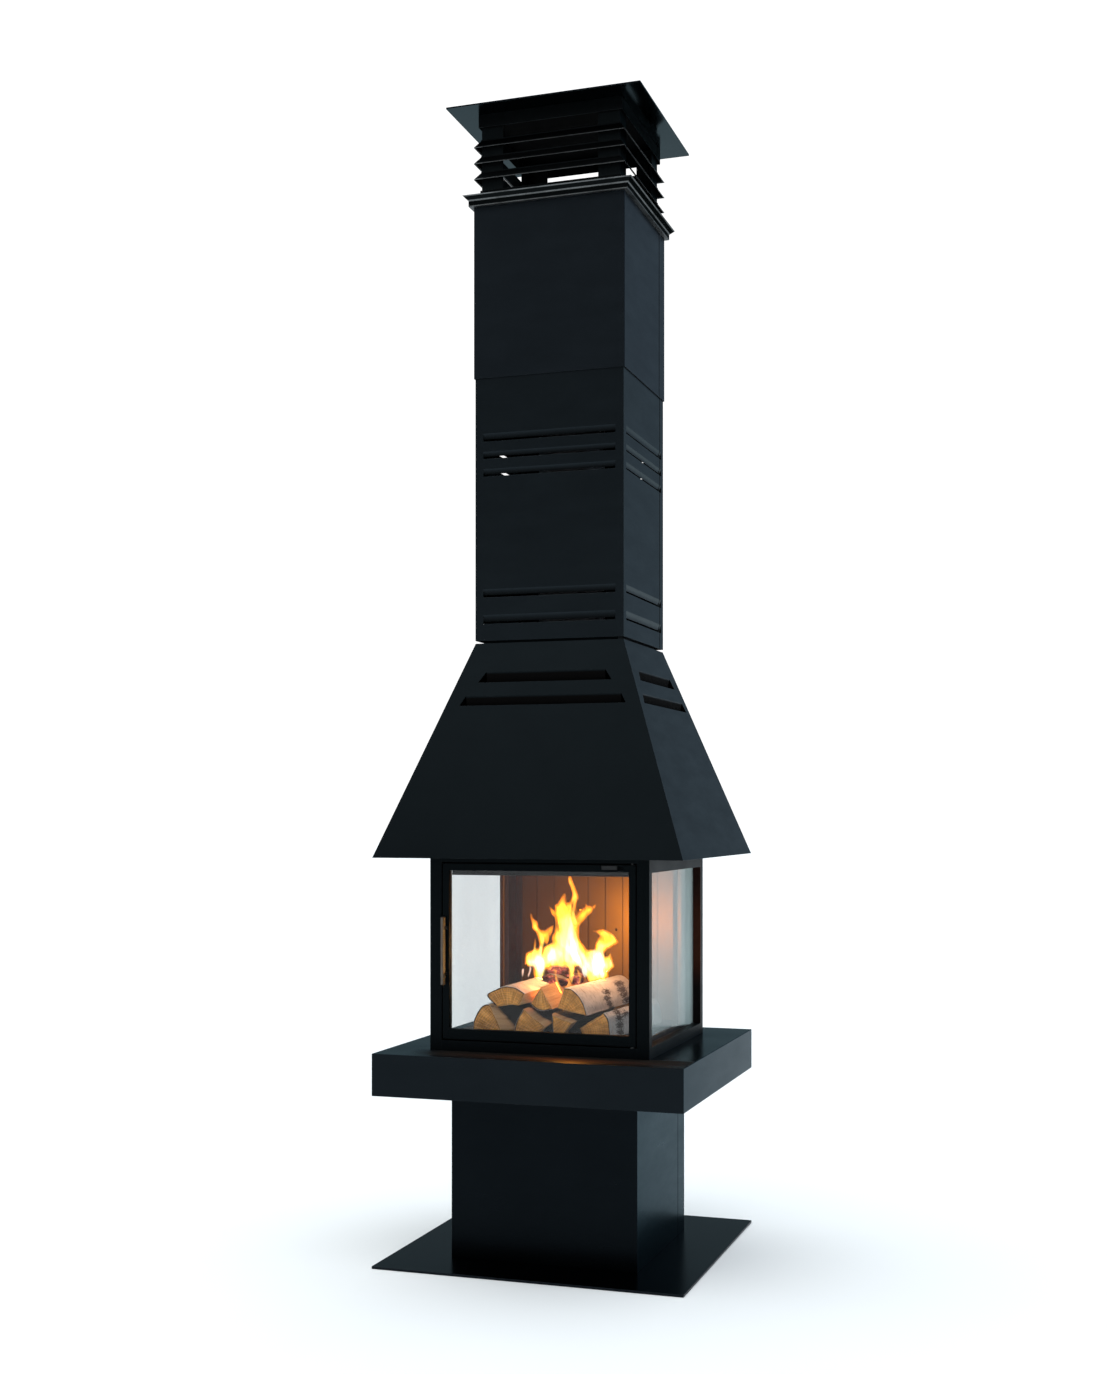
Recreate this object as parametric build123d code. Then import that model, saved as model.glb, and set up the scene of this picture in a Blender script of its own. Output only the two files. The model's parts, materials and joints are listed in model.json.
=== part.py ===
from build123d import *
import math
import os

os.makedirs("parts", exist_ok=True)

# ----------------------------------------------------------------------------
# Freestanding fireplace, millimetres.  +Z up, front towards -Y, right towards
# +X.  The origin lies on the ground under the middle of the base plate.
# ----------------------------------------------------------------------------

# base, pedestal and hearth table
BASE_HALF, BASE_T = 415.0, 6.0
PED_HALF, PED_T, PED_TOP, PED_SEAM = 254.5, 3.0, 448.0, 178.0
TABLE_HALF, TABLE_Z0, TABLE_Z1, TABLE_T = 415.0, 448.0, 558.0, 4.0

# firebox insert
INS_HALF, INS_Z0, INS_Z1 = 298.0, 558.0, 1066.0
POST_LEG = 14.0            # depth of the front legs of the welded frame
WEB_X0, WEB_X1 = 265.5, 269.5
STOP_Y0, STOP_Y1, STOP_IN = -269.0, -265.0, 249.0
SIDE_RECESS = 22.5         # the side glass lies this far inside the frame
SIDE_Y0, SIDE_Y1, SIDE_Z0, SIDE_Z1 = -272.0, 268.0, 587.0, 1030.0
FRAME_Z0, FRAME_Z1 = 585.0, 1054.0
FLOOR_Z = 596.0
LINING_TOP = 1036.0

# door
DOOR_HALF, DOOR_Z0, DOOR_Z1 = 262.0, 589.0, 1050.0
DOOR_Y0, DOOR_YM, DOOR_Y1 = -298.0, -288.0, -276.0
VIEW_HALF, VIEW_Z0, VIEW_Z1 = 244.5, 616.0, 1032.0
GLASS_HALF, GLASS_Z0, GLASS_Z1 = 247.5, 612.0, 1035.2
HINGE_X, HINGE_Y, HINGE_R = 252.0, -290.0, 4.0
LATCH_X, LATCH_Y, LATCH_R = -256.0, -287.0, 3.0
LATCH_Z = 820.0
HANDLE_Z0, HANDLE_Z1, HANDLE_Y0, HANDLE_Y1, HANDLE_T = 732.0, 910.5, -323.0, -304.0, 7.0

# hood, casings, cap
HOOD_BOT, HOOD_TOP, HOOD_Z0, HOOD_Z1, HOOD_T = 413.5, 204.5, 1066.0, 1634.0, 3.0
HOOD_SLOTS = ((1554.4, 1526.7, 164.0, 183.5), (1490.0, 1464.7, 213.0, 228.0))
NECK_HALF = 184.0
LOW_HALF, LOW_Z0, LOW_Z1, LOW_SEAM, SHEET = 205.5, 1641.0, 2400.0, 164.0, 2.0
LOW_SLOTS = ((2192.5, 2171.0), (2144.0, 2125.0), (2098.0, 2078.0), (1778.0, 1756.0), (1709.5, 1685.5))
SLOT_HALF, STRIP_IN, STRIP_GAP = 182.5, 4.0, 6.5
REAR_GAP, SEAM_GAP = 1.5, 2.6
UP_HALF, UP_Z0, UP_Z1, UP_SEAM = 208.5, 2340.0, 2797.0, 147.0
BAND_HALF, BAND_Z1, LIP_HALF, LIP_Z1 = 219.5, 2812.0, 232.6, 2824.6
POST_HALF, POST_W, POST_T = 191.5, 59.5, 3.0
RING_HALF, RING_TOP_HALF, RING_RISE = 209.0, 194.1, 20.5
RING_Z = (2871.3, 2913.3, 2956.5)
SKIRT_HALF, SKIRT_Z0, CAP_Z0, CAP_Z1, CAP_HALF = 198.5, 3012.0, 3046.0, 3050.0, 266.0
PIPE_R, PIPE_T, PIPE_END = 90.0, 2.0, 2870.0


# ------------------------------- helpers ------------------------------------
def bx(x0, x1, y0, y1, z0, z1):
    """Axis-aligned box between two corners."""
    return Pos((x0 + x1) / 2, (y0 + y1) / 2, (z0 + z1) / 2) * Box(abs(x1 - x0), abs(y1 - y0), abs(z1 - z0))


def sq(half, z0, z1):
    """Square bar centred on the axis."""
    return bx(-half, half, -half, half, z0, z1)


def rod(x, y, z0, z1, r):
    """Upright cylinder."""
    return Pos(x, y, (z0 + z1) / 2) * Cylinder(r, z1 - z0)


def rod_y(x, z, y0, y1, r):
    """Cylinder along Y."""
    return Pos(x, (y0 + y1) / 2, z) * Rot(90, 0, 0) * Cylinder(r, abs(y1 - y0))


def rod_x(y, z, x0, x1, r):
    """Cylinder along X."""
    return Pos((x0 + x1) / 2, y, z) * Rot(0, 90, 0) * Cylinder(r, abs(x1 - x0))


def prism_y(points, y0, y1):
    """Closed polygon of (x, z) points drawn out from y0 to y1."""
    face = Plane.XZ * Polygon(*points, align=None)
    solid = extrude(face, amount=(y1 - y0))
    box = solid.bounding_box()
    return Pos(0, y0 - box.min.Y, 0) * solid


def prism_z(points, z0, z1):
    """Closed polygon of (x, y) points drawn up from z0 to z1."""
    return Pos(0, 0, z0) * extrude(Polygon(*points, align=None), amount=z1 - z0)


def pyramid(h0, z0, h1, z1):
    """Solid between two centred squares."""
    a = Pos(0, 0, z0) * Rectangle(2 * h0, 2 * h0)
    b = Pos(0, 0, z1) * Rectangle(2 * h1, 2 * h1)
    return loft([a, b], ruled=True)


def turned(shape, quarter):
    return Rot(0, 0, 90 * quarter) * shape


def quarters(ring, reach, z0, z1):
    """A square ring cut along its diagonals into four mitred strips."""
    out = []
    for q in range(4):
        wedge = turned(prism_z([(0, 0), (-reach, -reach), (reach, -reach)], z0, z1), q)
        out.append(one(ring & wedge))
    return out


def edges_at(shape, axis, test):
    return [e for e in shape.edges().filter_by(axis) if test(e.center())]


def soften(shape, edges, r):
    """Small bend radius on chosen edges, or the shape as it is."""
    try:
        out = fillet(edges, radius=r)
        return out if out.volume > 0.5 * shape.volume else shape
    except Exception:
        return shape


def group(*shapes):
    """Separate solids that share one node."""
    solids = []
    for s in shapes:
        solids += list(s.solids())
    return Compound(children=solids)


def one(shape):
    """The single solid of a boolean result."""
    s = shape.solids()
    assert len(s) == 1, f"{len(s)} solids"
    return s[0]


written = []


def put(name, shape):
    export_step(shape, f"parts/{name}.step")
    written.append(name)


# ------------------------- base and pedestal --------------------------------
base = bx(-BASE_HALF, BASE_HALF, -BASE_HALF, BASE_HALF, 0, BASE_T)
base = soften(base, base.edges().filter_by(Axis.Z), 3.0)
base = soften(base, [e for e in base.edges() if abs(e.center().Z - BASE_T) < 0.01], 0.8)
put("base_plate", one(base))


def u_shell(half, t, y_seam, z0, z1, lip):
    """Three-sided folded sheet: front and both sides back to the seam, with
    inward lips at the rear edges."""
    s = bx(-half, half, -half, y_seam, z0, z1) - bx(-half + t, half - t, -half + t, y_seam + 1, z0 - 1, z1 + 1)
    s = soften(s, edges_at(s, Axis.Z, lambda c: abs(abs(c.X) - half) < 0.01 and abs(c.Y + half) < 0.01), 2.2)
    for sign in (-1, 1):
        s += bx(sign * (half - t), sign * (half - t - lip), y_seam - t, y_seam, z0, z1)
    return s


def back_shell(half, t, y_seam, z0, z1, lip, gap=0.8):
    """Rear panel with its two short sides and inward lips."""
    y0 = y_seam + gap
    s = bx(-half, half, y0, half, z0, z1) - bx(-half + t, half - t, y0 - 1, half - t, z0 - 1, z1 + 1)
    s = soften(s, edges_at(s, Axis.Z, lambda c: abs(abs(c.X) - half) < 0.01 and abs(c.Y - half) < 0.01), 2.2)
    for sign in (-1, 1):
        s += bx(sign * (half - t), sign * (half - t - lip), y0, y0 + t, z0, z1)
    return s


ped_shell = u_shell(PED_HALF, PED_T, PED_SEAM, BASE_T, PED_TOP, 14)
put("pedestal_front_shell", one(ped_shell))

ped_back = back_shell(PED_HALF, PED_T, PED_SEAM, BASE_T, PED_TOP, 14)
for k in range(5):                               # air slots low in the rear panel
    z = 70 + 22 * k
    ped_back -= bx(-120, 120, PED_HALF - PED_T - 1, PED_HALF + 1, z, z + 8)
SCREW_R, HEAD_R = 2.9, 5.0
PED_SCREWS = [(sx * 210, z) for sx in (-1, 1) for z in (60, 400)]
for x, z in PED_SCREWS:
    ped_back -= rod_y(x, z, PED_HALF - PED_T - 1, PED_HALF + 1, SCREW_R + 0.1)
put("pedestal_back_panel", one(ped_back))

posts = []
for sx in (-1, 1):
    for sy in (-1, 1):
        a = bx(sx * 196, sx * 240, sy * 236, sy * 240, BASE_T, 440) + bx(sx * 236, sx * 240, sy * 196, sy * 236, BASE_T, 440)
        if sy > 0:                               # the rear posts take the panel screws
            for z in (60, 400):
                a += bx(sx * 200, sx * 220, 240, PED_HALF - PED_T, z - 12, z + 12)
                a -= rod_y(sx * 210, z, 230, PED_HALF, SCREW_R + 0.1)
        posts.append(one(a))

BOLT_AT = [(sx * 180, sy * 180) for sx in (-1, 1) for sy in (-1, 1)]
ped_top = bx(-251, 251, -251, 251, 440, 448) - bx(-150, 150, -130, 130, 430, 460)
for x, y in BOLT_AT:
    ped_top -= rod(x, y, 430, 460, 5.2)
for sx in (-1, 1):                               # room for the lips of both sheets
    ped_top -= bx(sx * 236, sx * 252, PED_SEAM - PED_T - 1, PED_SEAM + PED_T + 2, 430, 460)
put("pedestal_frame", group(*posts, one(ped_top)))   # welded: four angle posts under one plate

# ------------------------------ hearth table --------------------------------
table = bx(-TABLE_HALF, TABLE_HALF, -TABLE_HALF, TABLE_HALF, TABLE_Z0, TABLE_Z1)
table = soften(table, table.edges().filter_by(Axis.Z), 3.0)
table = soften(table, [e for e in table.edges() if abs(e.center().Z - TABLE_Z1) < 0.01], 1.6)
table -= sq(TABLE_HALF - TABLE_T, TABLE_Z0 - 1, TABLE_Z1 - TABLE_T)
table -= bx(-134, 134, -114, 114, TABLE_Z1 - TABLE_T - 1, TABLE_Z1 + 1)
INS_BOLTS = [(sx * 240, sy * 235) for sx in (-1, 1) for sy in (-1, 1)]
for x, y in INS_BOLTS:
    table -= rod(x, y, TABLE_Z1 - TABLE_T - 1, TABLE_Z1 + 1, 4.2)
put("hearth_table_shell", one(table))

under = sq(TABLE_HALF - TABLE_T, TABLE_Z0, TABLE_Z0 + 3) - bx(-150, 150, -130, 130, 440, 460)
for x, y in BOLT_AT:
    under -= rod(x, y, 440, 460, 5.2)

ribs = []
for sy in (-1, 1):
    ribs.append(bx(-411, 411, sy * 205, sy * 209, 451, 554))
for sx in (-1, 1):
    ribs.append(bx(sx * 205, sx * 209, -205, 205, 451, 554))
    for sy in (-1, 1):
        ribs.append(bx(sx * 205, sx * 209, sy * 209, sy * 411, 451, 554))
put("hearth_table_frame", group(one(under), *ribs))  # welded: underside sheet and ribs

bolts = []
for x, y in BOLT_AT:                             # M10 through pedestal top and table underside
    bolts.append(one(rod(x, y, 433, 458, 5.0) + rod(x, y, 433, 440, 8.5) + rod(x, y, 451, 457, 8.5)))
t_bolts = list(bolts)

# ------------------------------ insert frame --------------------------------
H = INS_HALF
front_posts, rear_posts = [], []
for sx in (-1, 1):
    p = bx(sx * WEB_X0, sx * H, -H, -H + POST_LEG, INS_Z0, INS_Z1)
    p += bx(sx * (H - 20.5), sx * H, -H + POST_LEG, SIDE_Y0, INS_Z0, INS_Z1)
    p += bx(sx * WEB_X0, sx * WEB_X1, -H + POST_LEG, STOP_Y1, INS_Z0, INS_Z1)
    p = soften(p, edges_at(p, Axis.Z, lambda c: abs(abs(c.X) - H) < 0.01 and abs(c.Y + H) < 0.01), 1.5)
    front_posts.append(one(p))
    p = bx(sx * (H - 20.5), sx * H, SIDE_Y1, H, INS_Z0, INS_Z1)
    p += bx(sx * WEB_X0, sx * (H - 20.5), 292, H, INS_Z0, INS_Z1)
    p = soften(p, edges_at(p, Axis.Z, lambda c: abs(abs(c.X) - H) < 0.01 and abs(c.Y - H) < 0.01), 1.5)
    rear_posts.append(one(p))
put("insert_posts", group(*front_posts, *rear_posts))

PIN_HOLE = 4.02
f_bot = bx(-WEB_X0, WEB_X0, -H, -H + POST_LEG, INS_Z0, FRAME_Z0) - rod(HINGE_X, HINGE_Y, 568, 600, PIN_HOLE)
f_bot += bx(-WEB_X0, WEB_X0, -H + POST_LEG, STOP_Y1, FRAME_Z0 - 4, FRAME_Z0)
f_top = bx(-WEB_X0, WEB_X0, -H, -H + POST_LEG, FRAME_Z1, INS_Z1) - rod(HINGE_X, HINGE_Y, 1040, 1065, PIN_HOLE)
f_top += bx(-WEB_X0, WEB_X0, -H + POST_LEG, STOP_Y1, FRAME_Z1, FRAME_Z1 + 4)

rails = [one(f_bot), one(f_top)]
for sx in (-1, 1):
    rails.append(one(bx(sx * (H - 20.5), sx * H, SIDE_Y0, SIDE_Y1, INS_Z0, SIDE_Z0)))
    rails.append(one(bx(sx * (H - 20.5), sx * H, SIDE_Y0, SIDE_Y1, SIDE_Z1, INS_Z1)))
put("insert_rails", group(*rails))

stop = []                                        # flat bars the door rope closes on
for sx in (-1, 1):
    stop.append(bx(sx * STOP_IN, sx * WEB_X0, STOP_Y0, STOP_Y1, FRAME_Z0, FRAME_Z1))
stop.append(bx(-STOP_IN, STOP_IN, STOP_Y0, STOP_Y1, FRAME_Z0, 611))
stop.append(bx(-STOP_IN, STOP_IN, STOP_Y0, STOP_Y1, 1036, FRAME_Z1))
put("door_stop_bars", group(*stop))

deflector = bx(-248, 248, STOP_Y1, STOP_Y1 + 2, 1021, 1050)
deflector += rod_x(STOP_Y1 + 1.4, 1021, -248, 248, 2.4)
deflector += bx(-248, 248, STOP_Y1 + 2, STOP_Y1 + 30, 1048, 1050)
put("air_wash_deflector", one(deflector))

ins_base = bx(-277.5, 277.5, -H + POST_LEG, 292, INS_Z0, INS_Z0 + 4) - bx(-126, 126, -106, 106, 550, 570)
for sx in (-1, 1):                               # notches round the posts' webs
    ins_base -= bx(sx * WEB_X0, sx * WEB_X1, -290, STOP_Y1, 550, 570)
for x, y in INS_BOLTS:
    ins_base -= rod(x, y, 550, 570, 4.2)

bolts = []
for x, y in INS_BOLTS:                           # M8 through the tray and the table skin
    bolts.append(one(rod(x, y, 544, 568, 4.0) + rod(x, y, 562, 567.5, 6.5) + rod(x, y, 547, 554, 6.5)))
put("frame_bolts", group(*t_bolts, *bolts))

back_wall = bx(-WEB_X0, WEB_X0, 292, H, INS_Z0, INS_Z1)
back_wall = one(back_wall)
put("insert_casing", group(one(ins_base), back_wall))   # welded: base tray and rear wall

top_plate = one(sq(H, INS_Z1, INS_Z1 + 3) - rod(0, 0, 1060, 1075, 200))

# ------------------------------ side windows --------------------------------
seals = []
for sx, side in ((-1, "left"), (1, "right")):
    gx0, gx1 = H - SIDE_RECESS - 4.5, H - SIDE_RECESS
    pane = bx(sx * gx0, sx * gx1, -283, 280, 579, 1038)
    put(f"side_glass_{side}", one(pane))
    seal = bx(sx * gx1, sx * (gx1 + 2), -283, 280, 579, 1038) - bx(sx * (gx1 - 1), sx * (gx1 + 3), SIDE_Y0, SIDE_Y1, SIDE_Z0, SIDE_Z1)
    seals.append(one(seal))
put("side_glass_seals", group(*seals))
clips = []
for sx in (-1, 1):
    clips.append(bx(sx * 268, sx * 271, -262, 262, 1031, 1039))
    clips.append(bx(sx * 268, sx * 271, -262, 262, 578, 586))
    for z in (1031, 578):
        for y in (-150, 150):                    # lugs that reach under or over the pane's edge
            zz = (1039, 1043) if z > 800 else (574, 578)
            clips[-1 if z < 800 else -2] += bx(sx * 268, sx * 277.5, y - 12, y + 12, *zz)
put("side_glass_clips", group(*[one(c) for c in clips]))

# ------------------------------ firebox inside ------------------------------
floor = bx(-264, 264, -262, 291, 582, FLOOR_Z)
for y in (-255, -180, -125, 125, 180, 255):
    floor += bx(-225, 225, y - 4, y + 4, INS_Z0 + 4, 582)
floor -= bx(-131, 131, -91, 91, 586, 600)
floor -= bx(-121, 121, -81, 81, 570, 600)
put("firebox_floor", one(floor))

grate = bx(-130, 130, -90, 90, 586, FLOOR_Z)
for k in range(11):
    x = -105 + 21 * k
    grate -= bx(x - 4.5, x + 4.5, -74, 74, 580, 600)
put("grate", one(grate))

ash_box = bx(-130, 130, -110, 110, 470, INS_Z0) - bx(-127, 127, -107, 107, 473, 570)
ash_box += bx(-133.5, 133.5, -113.5, 113.5, 554, INS_Z0) - bx(-127, 127, -107, 107, 550, 570)
ash_box -= rod(0, 60, 460, 480, 30)              # primary air comes up through the bottom
put("ash_housing", one(ash_box))

pan = bx(-118, 118, -100, 40, 474, 540) - bx(-116, 116, -98, 38, 476, 545)
pan = pan + bx(-121, 121, -103, -98, 538, 540) + bx(-121, 121, 38, 43, 538, 540)
put("ash_pan", one(pan))

board = bx(-232, 232, 240, 268, FLOOR_Z, LINING_TOP)
for k in range(4):
    for sx in (-1, 1):
        x = sx * (25.75 + 51.5 * k)
        board -= bx(x - 1.4, x + 1.4, 239, 244, FLOOR_Z - 1, LINING_TOP + 1)
for sx in (-1, 1):
    board -= rod_y(sx * 57.8, 848, 230, 280, 4.0)
put("lining_back_board", one(board))

corners = []
for sx in (-1, 1):
    corner = bx(sx * 247, sx * 266, 178, 268, FLOOR_Z, LINING_TOP) + bx(sx * 232.3, sx * 247, 240.5, 268, FLOOR_Z, LINING_TOP)
    corner += bx(sx * 258, sx * 267.5, 164, 178.5, FLOOR_Z, 1030.5)   # lip along the side window
    corners.append(one(corner))
put("lining_corners", group(*corners))
angles = []
for sx in (-1, 1):
    angles.append(one(bx(sx * 226, sx * 247, 237.5, 240, FLOOR_Z, LINING_TOP) + bx(sx * 244.5, sx * 247, 176, 237.5, FLOOR_Z, LINING_TOP)
                      + bx(sx * 247, sx * 256, 176, 178, FLOOR_Z, LINING_TOP)))
put("lining_angles", group(*angles))

baffle = bx(-262, 262, -150, 290, LINING_TOP, LINING_TOP + 20)
put("baffle_plate", one(baffle))
rest = []
for sx in (-1, 1):
    rest.append(bx(sx * 244, sx * 267.5, -150, 170, 1031, LINING_TOP) - bx(sx * 240, sx * 262, -160, 180, 1020, 1033))
put("baffle_rests", group(*[one(r) for r in rest]))
upper_baffle = bx(-262, 262, -262, 60, 1061, 1065.5)
hang = [upper_baffle]
for sx in (-1, 1):
    for y in (-120, 20):
        hang[0] += bx(sx * 200 - 6, sx * 200 + 6, y - 6, y + 6, LINING_TOP + 20, 1061)
put("upper_baffle", one(hang[0]))

# ------------------------------ flue inside ---------------------------------
dome = Pos(0, 0, INS_Z1 + 3 + 85) * (Cone(212, 94, 170) - Cone(209, 91.5, 170))
dome += rod(0, 0, INS_Z1 + 3, INS_Z1 + 5, 230) - rod(0, 0, 1060, 1080, 205)
Z_D = INS_Z1 + 173
collar = rod(0, 0, Z_D, Z_D + 60, 94) - rod(0, 0, Z_D + 3, Z_D + 61, PIPE_R + 0.3) - rod(0, 0, Z_D - 1, Z_D + 5, 87)
put("smoke_dome", group(one(dome), one(collar)))     # dome with the collar that takes the pipe
PIPE_J = 2020.0
low_pipe = rod(0, 0, Z_D + 3, PIPE_J + 60, PIPE_R) - rod(0, 0, Z_D, PIPE_J + 61, PIPE_R - PIPE_T)
put("flue_pipe_lower", one(low_pipe))
up_pipe = rod(0, 0, PIPE_J + 60, PIPE_END, PIPE_R) - rod(0, 0, PIPE_J + 59, PIPE_END + 1, PIPE_R - PIPE_T)
up_pipe += rod(0, 0, PIPE_J, PIPE_J + 63, PIPE_R + 2.4) - rod(0, 0, PIPE_J - 1, PIPE_J + 60, PIPE_R + 0.3) - rod(0, 0, PIPE_J, PIPE_J + 70, PIPE_R - PIPE_T)
put("flue_pipe_upper", one(up_pipe))

# ---------------------------------- hood ------------------------------------
slope = (HOOD_BOT - HOOD_TOP) / (HOOD_Z1 - HOOD_Z0)
ti = HOOD_T * math.sqrt(1 + slope * slope)


def hh(z):
    return HOOD_BOT - slope * (z - HOOD_Z0)


# four slanted panels welded along the hips, with flat strips at the top and the bottom
skin = pyramid(HOOD_BOT, HOOD_Z0, HOOD_TOP, HOOD_Z1) - pyramid(HOOD_BOT - ti, HOOD_Z0, HOOD_TOP - ti, HOOD_Z1)
top_in = pyramid(hh(HOOD_Z1 - 3) - ti, HOOD_Z1 - 3, HOOD_TOP - ti, HOOD_Z1)
bot_in = pyramid(HOOD_BOT - ti, HOOD_Z0, hh(HOOD_Z0 + 3) - ti, HOOD_Z0 + 3)
hood_bits = []
for q in range(4):
    hood = turned(quarters(skin, 500, HOOD_Z0 - 10, HOOD_Z1 + 10)[0], q)
    for zt, zb, wt, wb in HOOD_SLOTS:
        cut = prism_y([(-wt, zt), (wt, zt), (wb, zb), (-wb, zb)], -hh(zb) - 1, -hh(zt) + 9)
        hood -= turned(cut, q)
        a, b = hh(zt), hh(zt) - 4.5              # the strip hangs from the slot's upper edge
        strip = [(-a, zt), (-b, zb + 1.5), (-b + 2.5, zb + 1.5), (-a + 2.6, zt + 1.2)]
        face = Plane.YZ * Polygon(*strip, align=None)
        s = extrude(face, amount=wt - 1, both=True)
        hood += turned(s, q)
    hood_bits.append(one(hood))
hood_bits += quarters(top_in - sq(NECK_HALF, HOOD_Z1 - 10, HOOD_Z1 + 10), 500, HOOD_Z1 - 10, HOOD_Z1 + 10)
hood_bits += quarters(bot_in - sq(378, HOOD_Z0 - 5, HOOD_Z0 + 10), 500, HOOD_Z0 - 10, HOOD_Z0 + 10)
put("hood", group(*hood_bits))

bars = []
for q in range(4):
    for off in (-150, 150):
        bars.append(one(turned(bx(off - 20, off + 20, -401, -262, INS_Z1 + 3, INS_Z1 + 9), q)))
put("insert_top_plate", group(top_plate, *bars))     # plate with the welded bars that carry the hood

neck = sq(NECK_HALF, 1600, 1680) - sq(NECK_HALF - SHEET, 1590, 1690)
rests = []
for q in range(4):
    rests.append(one(turned(bx(-40, 40, -(LOW_HALF - SHEET), -NECK_HALF, 1652, 1668), q)))
put("neck_sleeve", group(one(neck), *rests))        # sleeve with the blocks the casing stands on

# -------------------------------- casings -----------------------------------


def strip_solid(half, t, zt, zb, x0, x1, gap=STRIP_GAP):
    """Louvre strip in the front face: pressed in a little from the slot's upper
    edge, so that the lower part of the slot stays open."""
    rise = zt - zb - gap
    ln = math.hypot(STRIP_IN, rise)
    ny, nz = rise / ln * t, STRIP_IN / ln * t
    pts = [(-half, zt), (-half + STRIP_IN, zt - rise), (-half + STRIP_IN + ny, zt - rise + nz), (-half + ny, zt + nz)]
    face = Plane.YZ * Polygon(*pts, align=None)
    s = extrude(face, amount=x1 - x0)
    bb = s.bounding_box()
    return Pos(x0 - bb.min.X, 0, 0) * s


low_front = u_shell(LOW_HALF, SHEET, LOW_SEAM, LOW_Z0, LOW_Z1, 12)
low_back = back_shell(LOW_HALF, SHEET, LOW_SEAM, LOW_Z0, LOW_Z1, 12, SEAM_GAP)
for zt, zb in LOW_SLOTS:
    # front
    low_front -= bx(-SLOT_HALF, SLOT_HALF, -LOW_HALF - 1, -LOW_HALF + SHEET + 0.5, zb, zt)
    low_front += strip_solid(LOW_HALF, SHEET, zt, zb, -SLOT_HALF, SLOT_HALF)
    # rear
    low_back -= bx(-SLOT_HALF, SLOT_HALF, LOW_HALF - SHEET - 0.5, LOW_HALF + 1, zb, zt)
    low_back += turned(strip_solid(LOW_HALF, SHEET, zt, zb, -SLOT_HALF, SLOT_HALF, REAR_GAP), 2)
    # sides: the slot crosses the seam, so each sheet holds its own length of strip
    for sx in (-1, 1):
        low_front -= bx(sx * (LOW_HALF - SHEET - 0.2), sx * (LOW_HALF + 1), -SLOT_HALF, LOW_SEAM + 1, zb, zt)
        low_back -= bx(sx * (LOW_HALF - SHEET - 0.2), sx * (LOW_HALF + 1), LOW_SEAM, SLOT_HALF, zb, zt)
        if sx > 0:
            low_front += turned(strip_solid(LOW_HALF, SHEET, zt, zb, -SLOT_HALF, LOW_SEAM), 1)
            low_back += turned(strip_solid(LOW_HALF, SHEET, zt, zb, LOW_SEAM + SEAM_GAP, SLOT_HALF), 1)
        else:
            low_front += turned(strip_solid(LOW_HALF, SHEET, zt, zb, -LOW_SEAM, SLOT_HALF), 3)
            low_back += turned(strip_solid(LOW_HALF, SHEET, zt, zb, -SLOT_HALF, -LOW_SEAM - SEAM_GAP), 3)

up_front = u_shell(UP_HALF, SHEET, UP_SEAM, UP_Z0, UP_Z1, 0.9)
up_back = back_shell(UP_HALF, SHEET, UP_SEAM, UP_Z0, UP_Z1, 0.9, SEAM_GAP)

SPACER_Z = ((1725.0, LOW_HALF), (2230.0, LOW_HALF), (2760.0, UP_HALF))
screws = []
for x, z in PED_SCREWS:
    screws.append(one(rod_y(x, z, 226, PED_HALF, SCREW_R) + rod_y(x, z, PED_HALF, PED_HALF + 3, HEAD_R)))
spacers = []
for z, half in SPACER_Z:
    ring_o = rod(0, 0, z, z + 22, PIPE_R + 6.5)
    spacers.append(one(ring_o - rod(0, 0, z - 1, z + 23, PIPE_R + 0.3)))
    for q in range(4):                           # four arms welded to the ring
        arm = turned(bx(-2, 2, -(half - SHEET), -(PIPE_R + 4), z, z + 22) + bx(-18, 18, -(half - SHEET), -(half - SHEET - 3), z, z + 22), q)
        arm -= ring_o
        arm -= rod_y(12, z + 11, 150, half, SCREW_R + 0.1)
        spacers.append(one(arm))
    screws.append(one(rod_y(12, z + 11, half - SHEET - 12, half, SCREW_R) + rod_y(12, z + 11, half, half + 3, HEAD_R)))
    cut = rod_y(12, z + 11, half - SHEET - 1, half + 1, SCREW_R + 0.1)
    if half == LOW_HALF:
        low_back -= cut
    else:
        up_back -= cut
put("lower_casing_front_shell", one(low_front))
put("lower_casing_back_panel", one(low_back))
put("upper_casing_front_shell", one(up_front))
put("upper_casing_back_panel", one(up_back))
put("pipe_spacers", group(*spacers))
put("panel_screws", group(*screws))

# ------------------------------ collar and cap ------------------------------
band = sq(BAND_HALF, UP_Z1, BAND_Z1) - sq(BAND_HALF - SHEET, UP_Z1 + 3, BAND_Z1 + 1) - sq(150, UP_Z1 - 1, UP_Z1 + 5)
lip_i = 2.0 / math.cos(math.atan((LIP_HALF - BAND_HALF) / (LIP_Z1 - BAND_Z1)))
band += pyramid(BAND_HALF, BAND_Z1, LIP_HALF, LIP_Z1) - pyramid(BAND_HALF - lip_i, BAND_Z1, LIP_HALF - lip_i, LIP_Z1)
# upstand round the feet of the cap posts
band += sq(POST_HALF + 3.5, UP_Z1 + 2.5, 2845) - sq(POST_HALF + 0.7, UP_Z1 + 2, 2846)
put("cornice_collar", one(band))

cap_posts = []
for sx in (-1, 1):
    for sy in (-1, 1):
        a, b = POST_HALF, POST_HALF - POST_W
        p = bx(sx * b, sx * a, sy * b, sy * a, UP_Z1 + 3, CAP_Z0) - bx(sx * (b - 1), sx * (a - POST_T), sy * (b - 1), sy * (a - POST_T), UP_Z1, CAP_Z0 + 1)
        cap_posts.append(one(p))
put("cap_posts", group(*cap_posts))

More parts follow.
